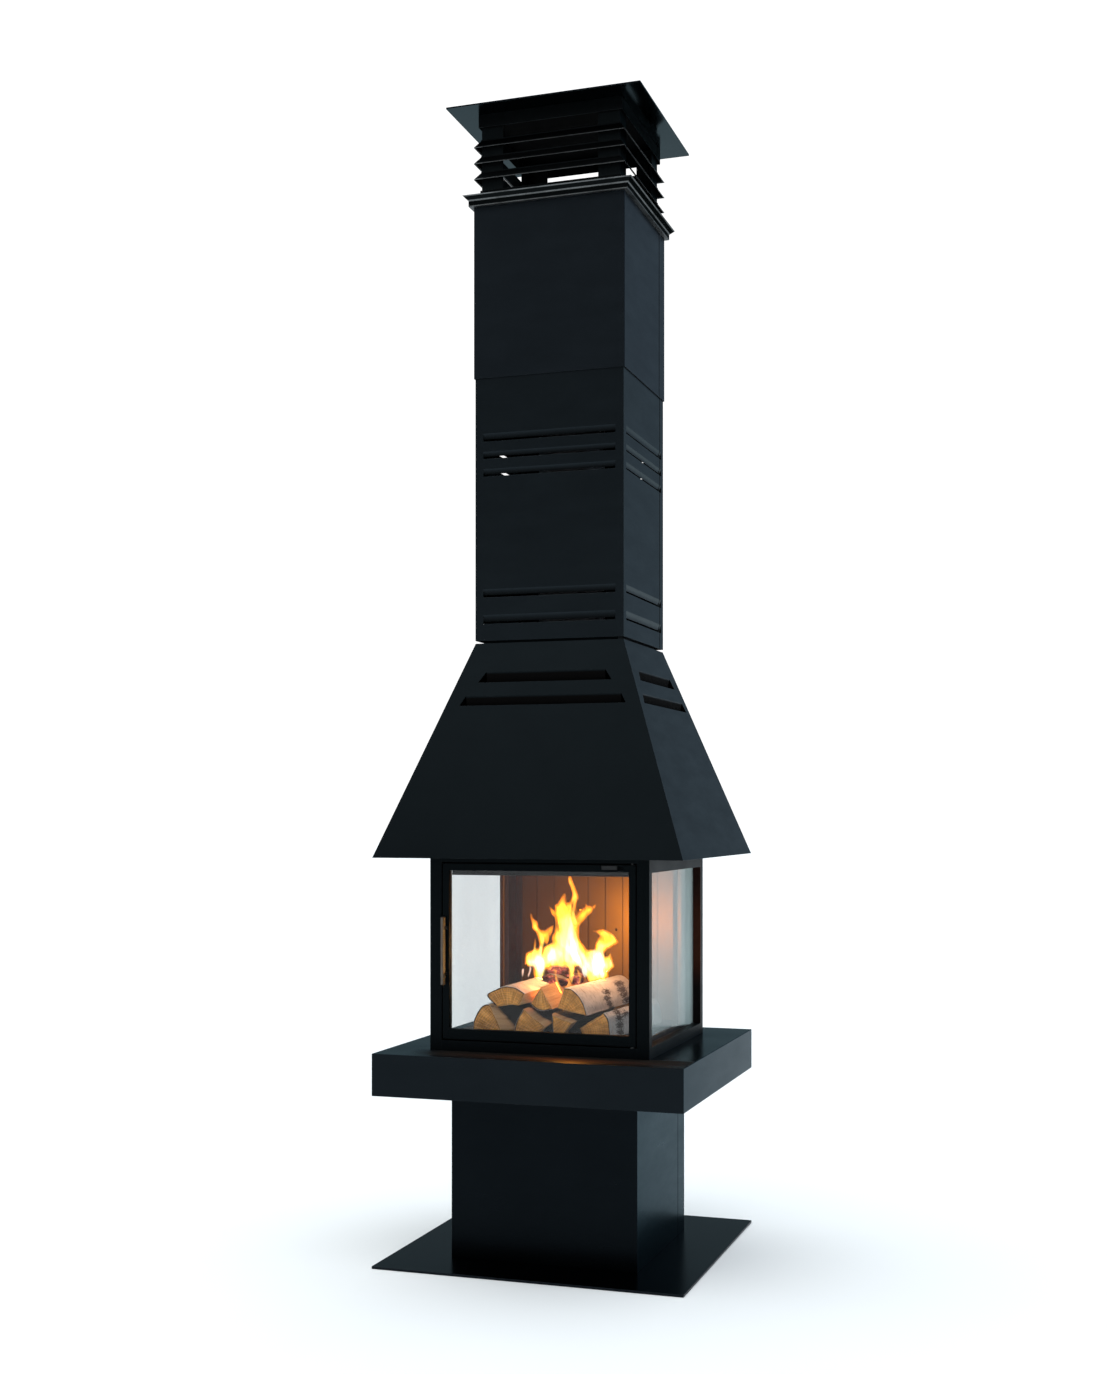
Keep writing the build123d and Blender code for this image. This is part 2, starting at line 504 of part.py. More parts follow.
tr = math.atan((RING_HALF - RING_TOP_HALF) / RING_RISE)
ri = 2.0 / math.cos(tr)
rings = []
for z in RING_Z:
    r = pyramid(RING_HALF, z, RING_TOP_HALF, z + RING_RISE) - pyramid(RING_HALF - ri, z, RING_TOP_HALF - ri, z + RING_RISE)
    r += sq(RING_TOP_HALF - 0.5, z + RING_RISE - 1, z + RING_RISE + 3.5) - sq(POST_HALF, z + RING_RISE - 5, z + RING_RISE + 9)
    rings += quarters(r, 300, z - 10, z + 60)    # each ring is four mitred strips
put("cap_louvre_rings", group(*rings))

skirt = sq(SKIRT_HALF, SKIRT_Z0, CAP_Z0) - sq(SKIRT_HALF - SHEET, SKIRT_Z0 - 1, CAP_Z0 + 1)
for sx in (-1, 1):
    for sy in (-1, 1):                           # spacer blocks out to the skirt from each post
        skirt += bx(sx * POST_HALF, sx * (SKIRT_HALF - 1), sy * 150, sy * 175, SKIRT_Z0 + 8, SKIRT_Z0 + 26)
skirt += bx(-SKIRT_HALF, SKIRT_HALF, SKIRT_HALF - SHEET, SKIRT_HALF, 3005.5, SKIRT_Z0 + 1)   # the rear side hangs lower
put("cap_skirt", one(skirt))

cap = sq(CAP_HALF, CAP_Z0, CAP_Z1)
cap = soften(cap, cap.edges().filter_by(Axis.Z), 2.0)
cap = soften(cap, [e for e in cap.edges() if abs(e.center().Z - CAP_Z1) < 0.01], 0.8)
put("cap_top_plate", one(cap))

# ---------------------------------- door ------------------------------------
door = bx(-DOOR_HALF, DOOR_HALF, DOOR_Y0, DOOR_Y1, DOOR_Z0, DOOR_Z1)
door = soften(door, [e for e in door.edges() if abs(e.center().Y - DOOR_Y0) < 0.01], 0.8)
door -= bx(-VIEW_HALF, VIEW_HALF, DOOR_Y0 - 1, DOOR_Y1 + 1, VIEW_Z0, VIEW_Z1)
door -= bx(-251, 251, DOOR_YM, DOOR_Y1 + 1, 608.5, 1036)
door -= bx(-243, 243, DOOR_YM, DOOR_Y1 + 1, 602.5, 1044)
door -= rod(HINGE_X, HINGE_Y, DOOR_Z0 - 1, 602, 6.02)
door -= rod(HINGE_X, HINGE_Y, 1036.5, DOOR_Z1 + 1, 6.02)
# latch: channel for the spindle, room for the hook and the keeper, bores
door -= bx(LATCH_X - 3.6, LATCH_X + 3.4, -291, DOOR_Y1 + 1, 745, 895)
door -= rod(LATCH_X, LATCH_Y, 733, 907, LATCH_R + 0.05)
door -= bx(-DOOR_HALF - 1, LATCH_X + 3.4, -284.5, DOOR_Y1 + 1, 803, 837)
STUD_Z = (760.0, 880.0)
for z in STUD_Z:
    door -= bx(LATCH_X - 3.3, LATCH_X + 7.4, DOOR_Y0 - 1, -288.2, z - 3.3, z + 3.3)
# air slider: recess in the top rail and a through slot for its neck
door -= bx(170, 232, DOOR_Y0 - 1, -293, 1036.5, 1049)
door -= bx(180, 226, -294, DOOR_YM + 1, 1040.8, 1043.6)
DOOR_SCREWS = [(x, z) for x in (-205, -70, 70, 205) for z in (607.0, 1040.0)]
for x, z in DOOR_SCREWS:
    if not (x > 150 and z > 1000):
        door -= rod_y(x, z, -292.5, -287, 1.55)
put("door_frame", one(door))

bushes = []
for z0, z1 in ((DOOR_Z0, 602.0), (1036.5, DOOR_Z1)):
    bushes.append(one(rod(HINGE_X, HINGE_Y, z0, z1, 6.0) - rod(HINGE_X, HINGE_Y, z0 - 1, z1 + 1, HINGE_R + 0.05)))
put("hinge_bushes", group(*bushes))

glass = bx(-GLASS_HALF, GLASS_HALF, -286, -282, GLASS_Z0, GLASS_Z1)
put("door_glass", one(glass))
seal = bx(-GLASS_HALF, GLASS_HALF, DOOR_YM, -286, GLASS_Z0, GLASS_Z1) - bx(-VIEW_HALF, VIEW_HALF, -290, -280, VIEW_Z0, VIEW_Z1)
put("door_glass_seal", one(seal))

ring = bx(-250.8, 250.8, -282, DOOR_Y1, 608.7, 1035.8) + bx(-242.8, 242.8, -282, DOOR_Y1, 602.8, 1043.7)
ring -= bx(-245, 245, -283, DOOR_Y1 + 1, 615.5, 1032.5)
ring -= bx(175, 232, -283, DOOR_Y1 + 1, 1036.6, 1045)
for x, z in DOOR_SCREWS:
    if not (x > 150 and z > 1000):
        ring -= rod_y(x, z, -283, DOOR_Y1 + 1, 1.55)
        ring -= rod_y(x, z, -278, DOOR_Y1 + 1, 2.75)
put("door_glass_frame", one(ring))
sc = []
for x, z in DOOR_SCREWS:
    if not (x > 150 and z > 1000):
        sc.append(one(rod_y(x, z, -292, -276.2, 1.5) + rod_y(x, z, -277.9, -276.2, 2.6)))
put("door_glass_screws", group(*sc))

rope = bx(-252.4, 252.4, DOOR_Y1, -269.5, 605.5, 1041.5) - bx(-248.5, 248.5, -280, -260, 611, 1036)
rope = soften(rope, [e for e in rope.edges() if abs(e.center().Y + 269.5) < 0.01], 1.5)
put("door_rope_seal", one(rope))

pins = [one(rod(HINGE_X, HINGE_Y, 570, 600, HINGE_R)), one(rod(HINGE_X, HINGE_Y, 1038.5, 1063, HINGE_R))]
washer = rod(HINGE_X, HINGE_Y, FRAME_Z0, DOOR_Z0 - 0.05, 7.0) - rod(HINGE_X, HINGE_Y, 580, 595, HINGE_R + 0.05)
put("hinge_pins", group(*pins, one(washer)))

# ---------------------------------- latch -----------------------------------
keeper = bx(-WEB_X0, -264, -283, -271, 806, 834)
keeper += bx(-264, -259.8, -281, -275.5, 810, 813) + bx(-264, -259.8, -281, -275.5, 827, 830)
keeper += rod(-261.5, -278.5, 810, 830, 1.5)
put("latch_keeper", one(keeper))

spindle = rod(LATCH_X, LATCH_Y, 734, 906, LATCH_R)
ARM, TIP, R_IN, R_OUT = 84.0, 102.0, 12.0, 14.4


def polar(r, deg):
    return (LATCH_X + r * math.cos(math.radians(deg)), LATCH_Y + r * math.sin(math.radians(deg)))


n_pts = [polar(R_OUT, a) for a in range(int(ARM - 5), int(TIP) + 1, 3)]
n_pts += [polar(R_IN, a) for a in range(int(TIP), int(ARM - 6), -3)]
nose = prism_z(n_pts, LATCH_Z - 2, LATCH_Z + 2)
ca, sa = math.cos(math.radians(ARM)), math.sin(math.radians(ARM))
w = 1.25
arm = prism_z([(LATCH_X + 2 * ca - w * sa, LATCH_Y + 2 * sa + w * ca), (LATCH_X + 2 * ca + w * sa, LATCH_Y + 2 * sa - w * ca),
               (LATCH_X + 13.5 * ca + w * sa, LATCH_Y + 13.5 * sa - w * ca), (LATCH_X + 13.5 * ca - w * sa, LATCH_Y + 13.5 * sa + w * ca)],
              LATCH_Z - 2, LATCH_Z + 2)
spindle = spindle + arm + nose
put("latch_spindle", one(spindle))

studs = []
for z in STUD_Z:
    s = rod_y(LATCH_X, z, HANDLE_Y1, LATCH_Y - 1, 2.5) - rod(LATCH_X, LATCH_Y, z - 10, z + 10, LATCH_R)
    studs.append(one(s))
put("handle_studs", group(*studs))

bc = LATCH_X + 1.0
blade = bx(bc - HANDLE_T / 2, bc + HANDLE_T / 2, HANDLE_Y0, HANDLE_Y1, HANDLE_Z0, HANDLE_Z1)
blade = soften(blade, edges_at(blade, Axis.X, lambda c: True), 2.5)
blade = soften(blade, [e for e in blade.edges() if abs(abs(e.center().X - bc) - HANDLE_T / 2) < 0.01], 0.9)
put("handle_blade", one(blade))

# -------------------------------- air slider --------------------------------
slider = bx(172, 213, -297.2, -293.4, 1037.5, 1048)
slider = soften(slider, [e for e in slider.edges() if abs(e.center().Y + 297.2) < 0.01], 0.7)
slider += bx(185, 200, -293.4, -287.7, 1041.1, 1043.3)
slider += bx(182, 203, -287.7, -286.3, 1037.2, 1043.3)
put("air_slider_plate", one(slider))

# ---------------------------------- logs ------------------------------------
LOG_Y0, LOG_Y1 = -232.0, 165.0
LOGS = {
    "log_1": ((-204, 596.5), (-203, 609), (-199, 636), (-182, 665), (-168, 676), (-152, 678), (-136, 664), (-90, 612), (-90, 596.5)),
    "log_2": ((-84, 596.5), (-86, 611), (-78, 638), (-56, 671), (10, 631), (-12, 612), (-22, 596.5)),
    "log_3": ((16, 658), (80, 638), (57, 612), (50, 596.5), (24, 596.5), (20, 616)),
    "log_4": ((92, 622), (160, 666), (173, 648), (179, 606), (178, 596.5), (106, 596.5)),
    "log_5": ((-166, 699), (-143, 714), (-115, 725), (-87, 722), (-56, 709), (-50, 681), (-76, 673), (-95, 675.5), (-140, 670.5)),
    "log_6": ((-16, 727), (-44, 681), (-27, 667), (-4, 663), (18, 668.5)),
    "log_7": ((46, 725), (65, 723), (87, 706), (103, 680), (110, 655), (60, 662.5), (24, 669.5), (36, 700)),
}
lower, upper = [], []
for name, pts in LOGS.items():
    low = name in ("log_1", "log_2", "log_3", "log_4")
    log = prism_y(pts, LOG_Y0 if low else LOG_Y0 + 8, LOG_Y1)
    if name in ("log_4", "log_7"):
        # the two right-hand logs lie askew: their far ends point to +X
        log = Pos(135, LOG_Y0, 0) * Rot(0, 0, -5) * Pos(-135, -LOG_Y0, 0) * log
    (lower if low else upper).append(one(log))
put("logs_lower", group(*lower))
put("logs_upper", group(*upper))
char = Pos(-14, 78, 749) * Rot(0, 4, 6) * Rot(0, 90, 0) * Cylinder(15, 150)
put("log_charred", one(char))

print(len(written), "nodes")
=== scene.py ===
import bpy
import bmesh
import json
import math
import random
import numpy as np
from mathutils import Matrix, Vector, noise


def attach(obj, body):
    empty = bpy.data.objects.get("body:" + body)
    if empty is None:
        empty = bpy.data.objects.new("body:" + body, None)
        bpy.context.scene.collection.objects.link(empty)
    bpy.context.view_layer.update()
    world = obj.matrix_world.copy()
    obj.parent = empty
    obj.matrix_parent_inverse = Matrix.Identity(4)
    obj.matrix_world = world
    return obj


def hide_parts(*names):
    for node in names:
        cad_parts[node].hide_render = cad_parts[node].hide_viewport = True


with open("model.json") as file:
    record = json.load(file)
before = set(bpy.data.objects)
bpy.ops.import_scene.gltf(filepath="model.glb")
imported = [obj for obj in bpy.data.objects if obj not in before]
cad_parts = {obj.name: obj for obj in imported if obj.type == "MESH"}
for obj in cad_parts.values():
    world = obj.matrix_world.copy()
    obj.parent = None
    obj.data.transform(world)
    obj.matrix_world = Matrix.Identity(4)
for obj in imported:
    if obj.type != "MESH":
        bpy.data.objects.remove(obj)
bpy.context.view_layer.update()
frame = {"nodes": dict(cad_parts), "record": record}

NODES = frame["nodes"]
scene = bpy.context.scene
MM = 0.001


# ----------------------------------------------------------------------------
# Node graph helper
# ----------------------------------------------------------------------------
class Graph:
    """Short names for the shader nodes that the finishes use."""

    def __init__(self, tree):
        self.t = tree
        self.n = tree.nodes

    def new(self, kind, **props):
        node = self.n.new(kind)
        for k, v in props.items():
            setattr(node, k, v)
        return node

    def put(self, socket, value):
        if value is None:
            return
        if isinstance(value, bpy.types.NodeSocket):
            self.t.links.new(value, socket)
        elif isinstance(value, (tuple, list)) and len(value) == 3 and socket.type == "RGBA":
            socket.default_value = (*value, 1.0)
        else:
            socket.default_value = value

    def coords(self, kind="Object"):
        return self.new("ShaderNodeTexCoord").outputs[kind]

    def uv(self):
        return self.new("ShaderNodeTexCoord").outputs["UV"]

    def attr(self, name, out="Fac"):
        return self.new("ShaderNodeAttribute", attribute_name=name).outputs[out]

    def mapping(self, vec, scale=(1, 1, 1), loc=(0, 0, 0), rot=(0, 0, 0)):
        m = self.new("ShaderNodeMapping")
        self.put(m.inputs["Vector"], vec)
        m.inputs["Scale"].default_value = scale
        m.inputs["Location"].default_value = loc
        m.inputs["Rotation"].default_value = rot
        return m.outputs[0]

    def noise(self, vec, scale, detail=3.0, rough=0.55, distort=0.0, out="Fac", dims="3D", w=None):
        n = self.new("ShaderNodeTexNoise", noise_dimensions=dims)
        self.put(n.inputs["Vector"], vec)
        n.inputs["Scale"].default_value = scale
        n.inputs["Detail"].default_value = detail
        n.inputs["Roughness"].default_value = rough
        n.inputs["Distortion"].default_value = distort
        if w is not None:
            self.put(n.inputs["W"], w)
        return n.outputs[out]

    def voronoi(self, vec, scale, feature="F1", out="Distance", rand=1.0):
        n = self.new("ShaderNodeTexVoronoi", feature=feature)
        self.put(n.inputs["Vector"], vec)
        n.inputs["Scale"].default_value = scale
        n.inputs["Randomness"].default_value = rand
        return n.outputs[out]

    def wave(self, vec, scale, distort=0.0, detail=2.0, dscale=1.0, kind="BANDS", axis="X", profile="SIN"):
        n = self.new("ShaderNodeTexWave", wave_type=kind, wave_profile=profile)
        if kind == "BANDS":
            n.bands_direction = axis
        else:
            n.rings_direction = axis
        self.put(n.inputs["Vector"], vec)
        n.inputs["Scale"].default_value = scale
        n.inputs["Distortion"].default_value = distort
        n.inputs["Detail"].default_value = detail
        n.inputs["Detail Scale"].default_value = dscale
        return n.outputs["Fac"]

    def ramp(self, fac, stops, mode="LINEAR"):
        r = self.new("ShaderNodeValToRGB")
        r.color_ramp.interpolation = mode
        e = r.color_ramp.elements
        while len(e) > 1:
            e.remove(e[-1])
        e[0].position = stops[0][0]
        e[0].color = self.c4(stops[0][1])
        for p, c in stops[1:]:
            x = e.new(p)
            x.color = self.c4(c)
        self.put(r.inputs["Fac"], fac)
        return r.outputs["Color"]

    @staticmethod
    def c4(c):
        if isinstance(c, (int, float)):
            return (c, c, c, 1.0)
        return (*c, 1.0)

    def math(self, op, a, b=None, c=None, clamp=False):
        m = self.new("ShaderNodeMath", operation=op, use_clamp=clamp)
        self.put(m.inputs[0], a)
        if b is not None:
            self.put(m.inputs[1], b)
        if c is not None:
            self.put(m.inputs[2], c)
        return m.outputs[0]

    def remap(self, v, a, b, c=0.0, d=1.0, smooth=False):
        m = self.new("ShaderNodeMapRange", interpolation_type="SMOOTHSTEP" if smooth else "LINEAR")
        self.put(m.inputs["Value"], v)
        m.inputs["From Min"].default_value = a
        m.inputs["From Max"].default_value = b
        self.put(m.inputs["To Min"], c)
        self.put(m.inputs["To Max"], d)
        return m.outputs["Result"]

    def mix(self, fac, a, b, blend="MIX"):
        m = self.new("ShaderNodeMix", data_type="RGBA", blend_type=blend)
        self.put(m.inputs[0], fac)
        self.put(m.inputs[6], a)
        self.put(m.inputs[7], b)
        return m.outputs[2]

    def mixf(self, fac, a, b):
        m = self.new("ShaderNodeMix", data_type="FLOAT")
        self.put(m.inputs[0], fac)
        self.put(m.inputs[2], a)
        self.put(m.inputs[3], b)
        return m.outputs[0]

    def xyz(self, vec):
        s = self.new("ShaderNodeSeparateXYZ")
        self.put(s.inputs[0], vec)
        return s.outputs[0], s.outputs[1], s.outputs[2]

    def combine(self, x, y, z):
        s = self.new("ShaderNodeCombineXYZ")
        self.put(s.inputs[0], x)
        self.put(s.inputs[1], y)
        self.put(s.inputs[2], z)
        return s.outputs[0]

    def bump(self, height, strength=0.3, distance=0.001, normal=None):
        b = self.new("ShaderNodeBump")
        b.inputs["Strength"].default_value = strength
        b.inputs["Distance"].default_value = distance
        self.put(b.inputs["Height"], height)
        self.put(b.inputs["Normal"], normal)
        return b.outputs[0]

    def bevel(self, radius, samples=4):
        b = self.new("ShaderNodeBevel", samples=samples)
        b.inputs["Radius"].default_value = radius
        return b.outputs[0]

    def normal(self):
        return self.new("ShaderNodeNewGeometry").outputs["Normal"]

    def dot(self, a, b):
        m = self.new("ShaderNodeVectorMath", operation="DOT_PRODUCT")
        self.put(m.inputs[0], a)
        self.put(m.inputs[1], b)
        return m.outputs["Value"]

    def principled(self, **k):
        p = self.new("ShaderNodeBsdfPrincipled")
        for name, v in k.items():
            self.put(p.inputs[name.replace("_", " ")], v)
        return p

    def surface(self, shader):
        o = self.new("ShaderNodeOutputMaterial")
        self.t.links.new(shader, o.inputs["Surface"])
        return o


def material(name):
    m = bpy.data.materials.new(name)
    m.use_nodes = True
    m.node_tree.nodes.clear()
    return m, Graph(m.node_tree)


# ----------------------------------------------------------------------------
# Finishes
# ----------------------------------------------------------------------------
def paint(name, colour, rough, spec, grain=0.12, edge=0.5, dust=0.35, bevel=0.0011, sheen=0.10, shade=None):
    """Fine-textured powder coat: orange peel, slightly uneven gloss, edges lightened partly as rubbed paint
    and partly as painted highlight, a trace of dust on faces that look up. shade: a painted glow laid over the colour."""
    m, g = material(name)
    co = g.coords()
    cloud = g.noise(co, 3.1, 4, 0.6)
    fine = g.noise(co, 900, 2, 0.5)
    smear = g.noise(g.mapping(co, (1.2, 1.2, 5.0)), 5.0, 3, 0.6)
    base = g.mix(g.remap(cloud, 0.3, 0.75), tuple(c * 0.9 for c in colour), tuple(c * 1.1 for c in colour))
    round_n = g.bevel(bevel, 4)
    # Lighter rounded edges: partly rubbed paint, partly a painted highlight.
    rubbed_and_highlit_edge = g.remap(g.dot(round_n, g.normal()), 0.998, 0.90, 0.0, 1.0)
    patch = g.remap(g.noise(co, 38, 4, 0.7), 0.42, 0.66)
    base = g.mix(g.math("MULTIPLY", g.math("MULTIPLY", rubbed_and_highlit_edge, patch), edge), base, (0.050, 0.056, 0.060))
    nx, ny, nz = g.xyz(g.normal())
    up = g.math("MULTIPLY", g.remap(nz, 0.6, 0.98), g.remap(g.noise(co, 24, 5, 0.65), 0.35, 0.8, 0.0, dust))
    base = g.mix(g.math("MULTIPLY", up, 0.22), base, (0.055, 0.056, 0.056))
    if shade:
        base = shade(g, co, base)
    r = g.math("ADD", g.remap(smear, 0.25, 0.75, rough - 0.035, rough + 0.05), g.math("MULTIPLY", fine, 0.03))
    n = g.bump(fine, grain, 0.00006, round_n)
    p = g.principled(Base_Color=base, Roughness=r, Specular_IOR_Level=spec, Specular_Tint=(0.66, 0.88, 1.0), Normal=n,
                     Sheen_Weight=sheen, Sheen_Roughness=0.35, Sheen_Tint=(0.10, 0.55, 1.0))
    g.surface(p.outputs[0])
    return m


def enamel(name, face, rim, rough, grain=0.10, edge=0.5, bevel=0.0011, shade=None, lines=None, painted_highlight=None):
    """Blackened metal-effect stove paint. face: how much it mirrors seen straight on,
    rim: its tone at a flat angle. shade: a mask of painted shade, partly dust along the seams, and on the table a
    painted pool of firelight. lines: heights of folded edges drawn as thin light lines, partly rubbed paint and partly
    painted highlight."""
    m, g = material(name)
    co = g.coords()
    cloud = g.noise(co, 3.1, 4, 0.6)
    fine = g.noise(co, 900, 2, 0.5)
    smear = g.noise(g.mapping(co, (1.2, 1.2, 5.0)), 5.0, 3, 0.6)
    base = g.mix(g.remap(cloud, 0.3, 0.75), tuple(c * 0.9 for c in face), tuple(c * 1.1 for c in face))
    round_n = g.bevel(bevel, 4)
    # Lighter rounded edges: partly rubbed paint, partly a painted highlight.
    rubbed_and_highlit_edge = g.remap(g.dot(round_n, g.normal()), 0.998, 0.90, 0.0, 1.0)
    patch = g.remap(g.noise(co, 38, 4, 0.7), 0.42, 0.66)
    base = g.mix(g.math("MULTIPLY", g.math("MULTIPLY", rubbed_and_highlit_edge, patch), edge), base, (0.080, 0.088, 0.092))
    if lines:
        x, y, z = g.xyz(co)
        near = None
        for h in lines:
            d = g.math("ABSOLUTE", g.math("SUBTRACT", z, h))
            near = d if near is None else g.math("MINIMUM", near, d)
        # Thin light lines at the given heights: partly rubbed paint, partly painted highlight on the folded edges.
        thin = g.math("MULTIPLY", g.remap(near, 0.0022, 0.0012), g.remap(g.noise(co, 9, 4, 0.7), 0.30, 0.52, 0.35, 1.0))
        base = g.mix(thin, base, (0.150, 0.158, 0.160))
    if painted_highlight:
        # Lighter colour where the band of painted reflection lies.
        base = g.mix(painted_highlight(g, co), base, (0.052, 0.062, 0.063))
    r = g.math("ADD", g.remap(smear, 0.25, 0.75, rough - 0.03, rough + 0.04), g.math("MULTIPLY", fine, 0.03))
    metal = 1.0
    if shade:
        mask, dark = shade(g, co)
        base = g.mix(mask, base, dark)
        metal = g.math("SUBTRACT", 1.0, mask)
        r = g.mixf(mask, r, 0.85)
    n = g.bump(fine, grain, 0.00006, round_n)
    p = g.principled(Base_Color=base, Metallic=metal, Roughness=r, Specular_IOR_Level=0.02, Specular_Tint=rim, Normal=n)
    g.surface(p.outputs[0])
    return m


def seam_dust_and_shade(g, co, at, half, strength):
    """Dark band along both edges of the seam in the side faces: partly dust in the joint, partly painted shade of the
    gap.
    """
    x, y, z = g.xyz(co)
    side = g.math("GREATER_THAN", g.math("ABSOLUTE", x), g.math("ADD", g.math("ABSOLUTE", y), 0.02))
    near = g.remap(g.math("ABSOLUTE", g.math("SUBTRACT", y, at)), half, half * 0.6, 0.0, strength)
    return g.math("MULTIPLY", near, side)


def strip_painted_shade(g, co):
    """The louvre strips of the front and rear faces: painted shade, darker the deeper they lie, plus the seam band in
    the side faces.
    """
    x, y, z = g.xyz(co)
    ax, ay = g.math("ABSOLUTE", x), g.math("ABSOLUTE", y)
    deep = g.math("MULTIPLY", g.remap(ay, 0.2054, 0.2020, 0.0, 0.85), g.math("GREATER_THAN", ay, ax))
    return g.math("MAXIMUM", deep, seam_dust_and_shade(g, co, 0.1653, 0.0042, 0.7)), (0.0026, 0.0030, 0.0032)


# Seam of the upper casing: dark band, partly dust, partly painted shade.
def upper_seam_painted_shade(g, co):
    return seam_dust_and_shade(g, co, 0.1483, 0.0042, 0.7), (0.0026, 0.0030, 0.0032)


# Seam of the pedestal: dark band, partly dust, partly painted shade.
def pedestal_seam_painted_shade(g, co):
    return seam_dust_and_shade(g, co, 0.1784, 0.0030, 0.6), (0.0026, 0.0030, 0.0032)


def strip_painted_highlight(g, co):
    """Paler upper half of the louvre strips in the side faces: a painted reflection of the bright floor below."""
    x, y, z = g.xyz(co)
    ax, ay = g.math("ABSOLUTE", x), g.math("ABSOLUTE", y)
    band = g.math("MULTIPLY", g.remap(ax, 0.20545, 0.20525), g.remap(ax, 0.2022, 0.2038))
    return g.math("MULTIPLY", band, g.math("GREATER_THAN", ax, ay))


def blade_painted_shade(g, co):
    """Painted shade on the louvre blades of the hood, which lie inside its sloping faces: darker the deeper they lie.
    """
    x, y, z = g.xyz(co)
    far = g.math("MAXIMUM", g.math("ABSOLUTE", x), g.math("ABSOLUTE", y))
    half = g.math("SUBTRACT", 0.4135, g.math("MULTIPLY", g.math("SUBTRACT", z, 1.066), 209.0 / 568.0))
    return g.remap(g.math("SUBTRACT", half, far), 0.0007, 0.0030), (0.0030, 0.0028, 0.0028)


def cap_painted_shade(g, co):
    """Painted shade under the top plate of the cap, inside the skirt: these faces are made black and dull."""
    x, y, z = g.xyz(co)
    far = g.math("MAXIMUM", g.math("ABSOLUTE", x), g.math("ABSOLUTE", y))
    mask = g.math("MULTIPLY", g.math("LESS_THAN", far, 0.1972), g.math("LESS_THAN", z, 3.0475))
    return mask, (0.0022, 0.0026, 0.0028)


def table_painted_glow(g, co):
    """Top of the hearth table before the fire: a dull brown patch laid where the fire's light pools, so the linked
    fire_spill lamp shows there: a painted pool of light. dull with heat and fine ash.
    """
    x, y, z = g.xyz(co)
    top = g.math("GREATER_THAN", z, 0.5578)
    wide = g.remap(g.math("ABSOLUTE", g.math("SUBTRACT", x, 0.07)), 0.42, 0.28, 0.0, 1.0, True)
    deep = g.remap(y, -0.405, -0.34, 0.35, 1.0, True)
    front = g.remap(y, -0.285, -0.297, 0.0, 1.0, True)
    return g.math("MULTIPLY", g.math("MULTIPLY", g.math("MULTIPLY", wide, deep), top), g.math("MULTIPLY", front, 0.93)), (0.0135, 0.0105, 0.0085)


def post_painted_glow(g, co, col):
    """Rear posts of the firebox frame: a painted glow of the fire on the face beside the side panes, strongest between
    0.78 and 0.86 m high.
    """
    x, y, z = g.xyz(co)
    side = g.math("GREATER_THAN", g.math("ABSOLUTE", x), 0.2715)
    rear = g.math("MULTIPLY", g.math("GREATER_THAN", y, 0.2655), g.math("LESS_THAN", y, 0.2745))
    glow = g.math("MULTIPLY", g.remap(z, 1.00, 0.86, 0.35, 1.0, True), g.remap(z, 0.68, 0.78, 0.10, 1.0, True))
    return g.mix(g.math("MULTIPLY", g.math("MULTIPLY", side, rear), glow), col, (0.050, 0.0145, 0.0075))


def steel(name, colour, rough, spec=0.5, metal=1.0, brush=(1, 1, 40), grain=0.15, tarnish=(0.05, 0.045, 0.04), amount=0.3):
    """Bare or plated steel with a brushed or rolled grain and dull spots."""
    m, g = material(name)
    co = g.coords()
    lines = g.noise(g.mapping(co, brush), 60, 5, 0.7)
    spots = g.remap(g.noise(co, 26, 5, 0.65), 0.45, 0.75)
    col = g.mix(g.math("MULTIPLY", lines, 0.5), colour, tuple(c * 0.72 for c in colour))
    col = g.mix(g.math("MULTIPLY", spots, amount), col, tarnish)
    r = g.math("ADD", g.remap(lines, 0.3, 0.7, rough - 0.06, rough + 0.08), g.math("MULTIPLY", spots, 0.12))
    n = g.bump(lines, grain, 0.0001, g.bevel(0.0005, 4))
    p = g.principled(Base_Color=col, Metallic=metal, Roughness=r, Specular_IOR_Level=spec, Normal=n)
    g.surface(p.outputs[0])
    return m


def pane(name, ior, tint, haze=0.015, grime=0.03):
    """Ceramic glass: clear, mirror-like at its faces, with a breath of soot."""
    m, g = material(name)
    co = g.coords()
    f = g.new("ShaderNodeFresnel")
    f.inputs["IOR"].default_value = ior
    back = g.new("ShaderNodeNewGeometry").outputs["Backfacing"]
    fac = g.math("MULTIPLY", f.outputs[0], g.math("SUBTRACT", 1.0, back))
    smear = g.remap(g.noise(g.mapping(co, (1, 1, 0.45)), 9, 5, 0.62), 0.42, 0.8, 0.0, grime)
    clear = g.new("ShaderNodeBsdfTransparent")
    g.put(clear.inputs["Color"], g.mix(smear, tint, (0.45, 0.40, 0.36)))
    gloss = g.new("ShaderNodeBsdfGlossy")
    gloss.inputs["Color"].default_value = (1, 1, 1, 1)
    gloss.inputs["Roughness"].default_value = haze
    mx = g.new("ShaderNodeMixShader")
    g.put(mx.inputs[0], fac)
    g.t.links.new(clear.outputs[0], mx.inputs[1])
    g.t.links.new(gloss.outputs[0], mx.inputs[2])
    g.surface(mx.outputs[0])
    return m


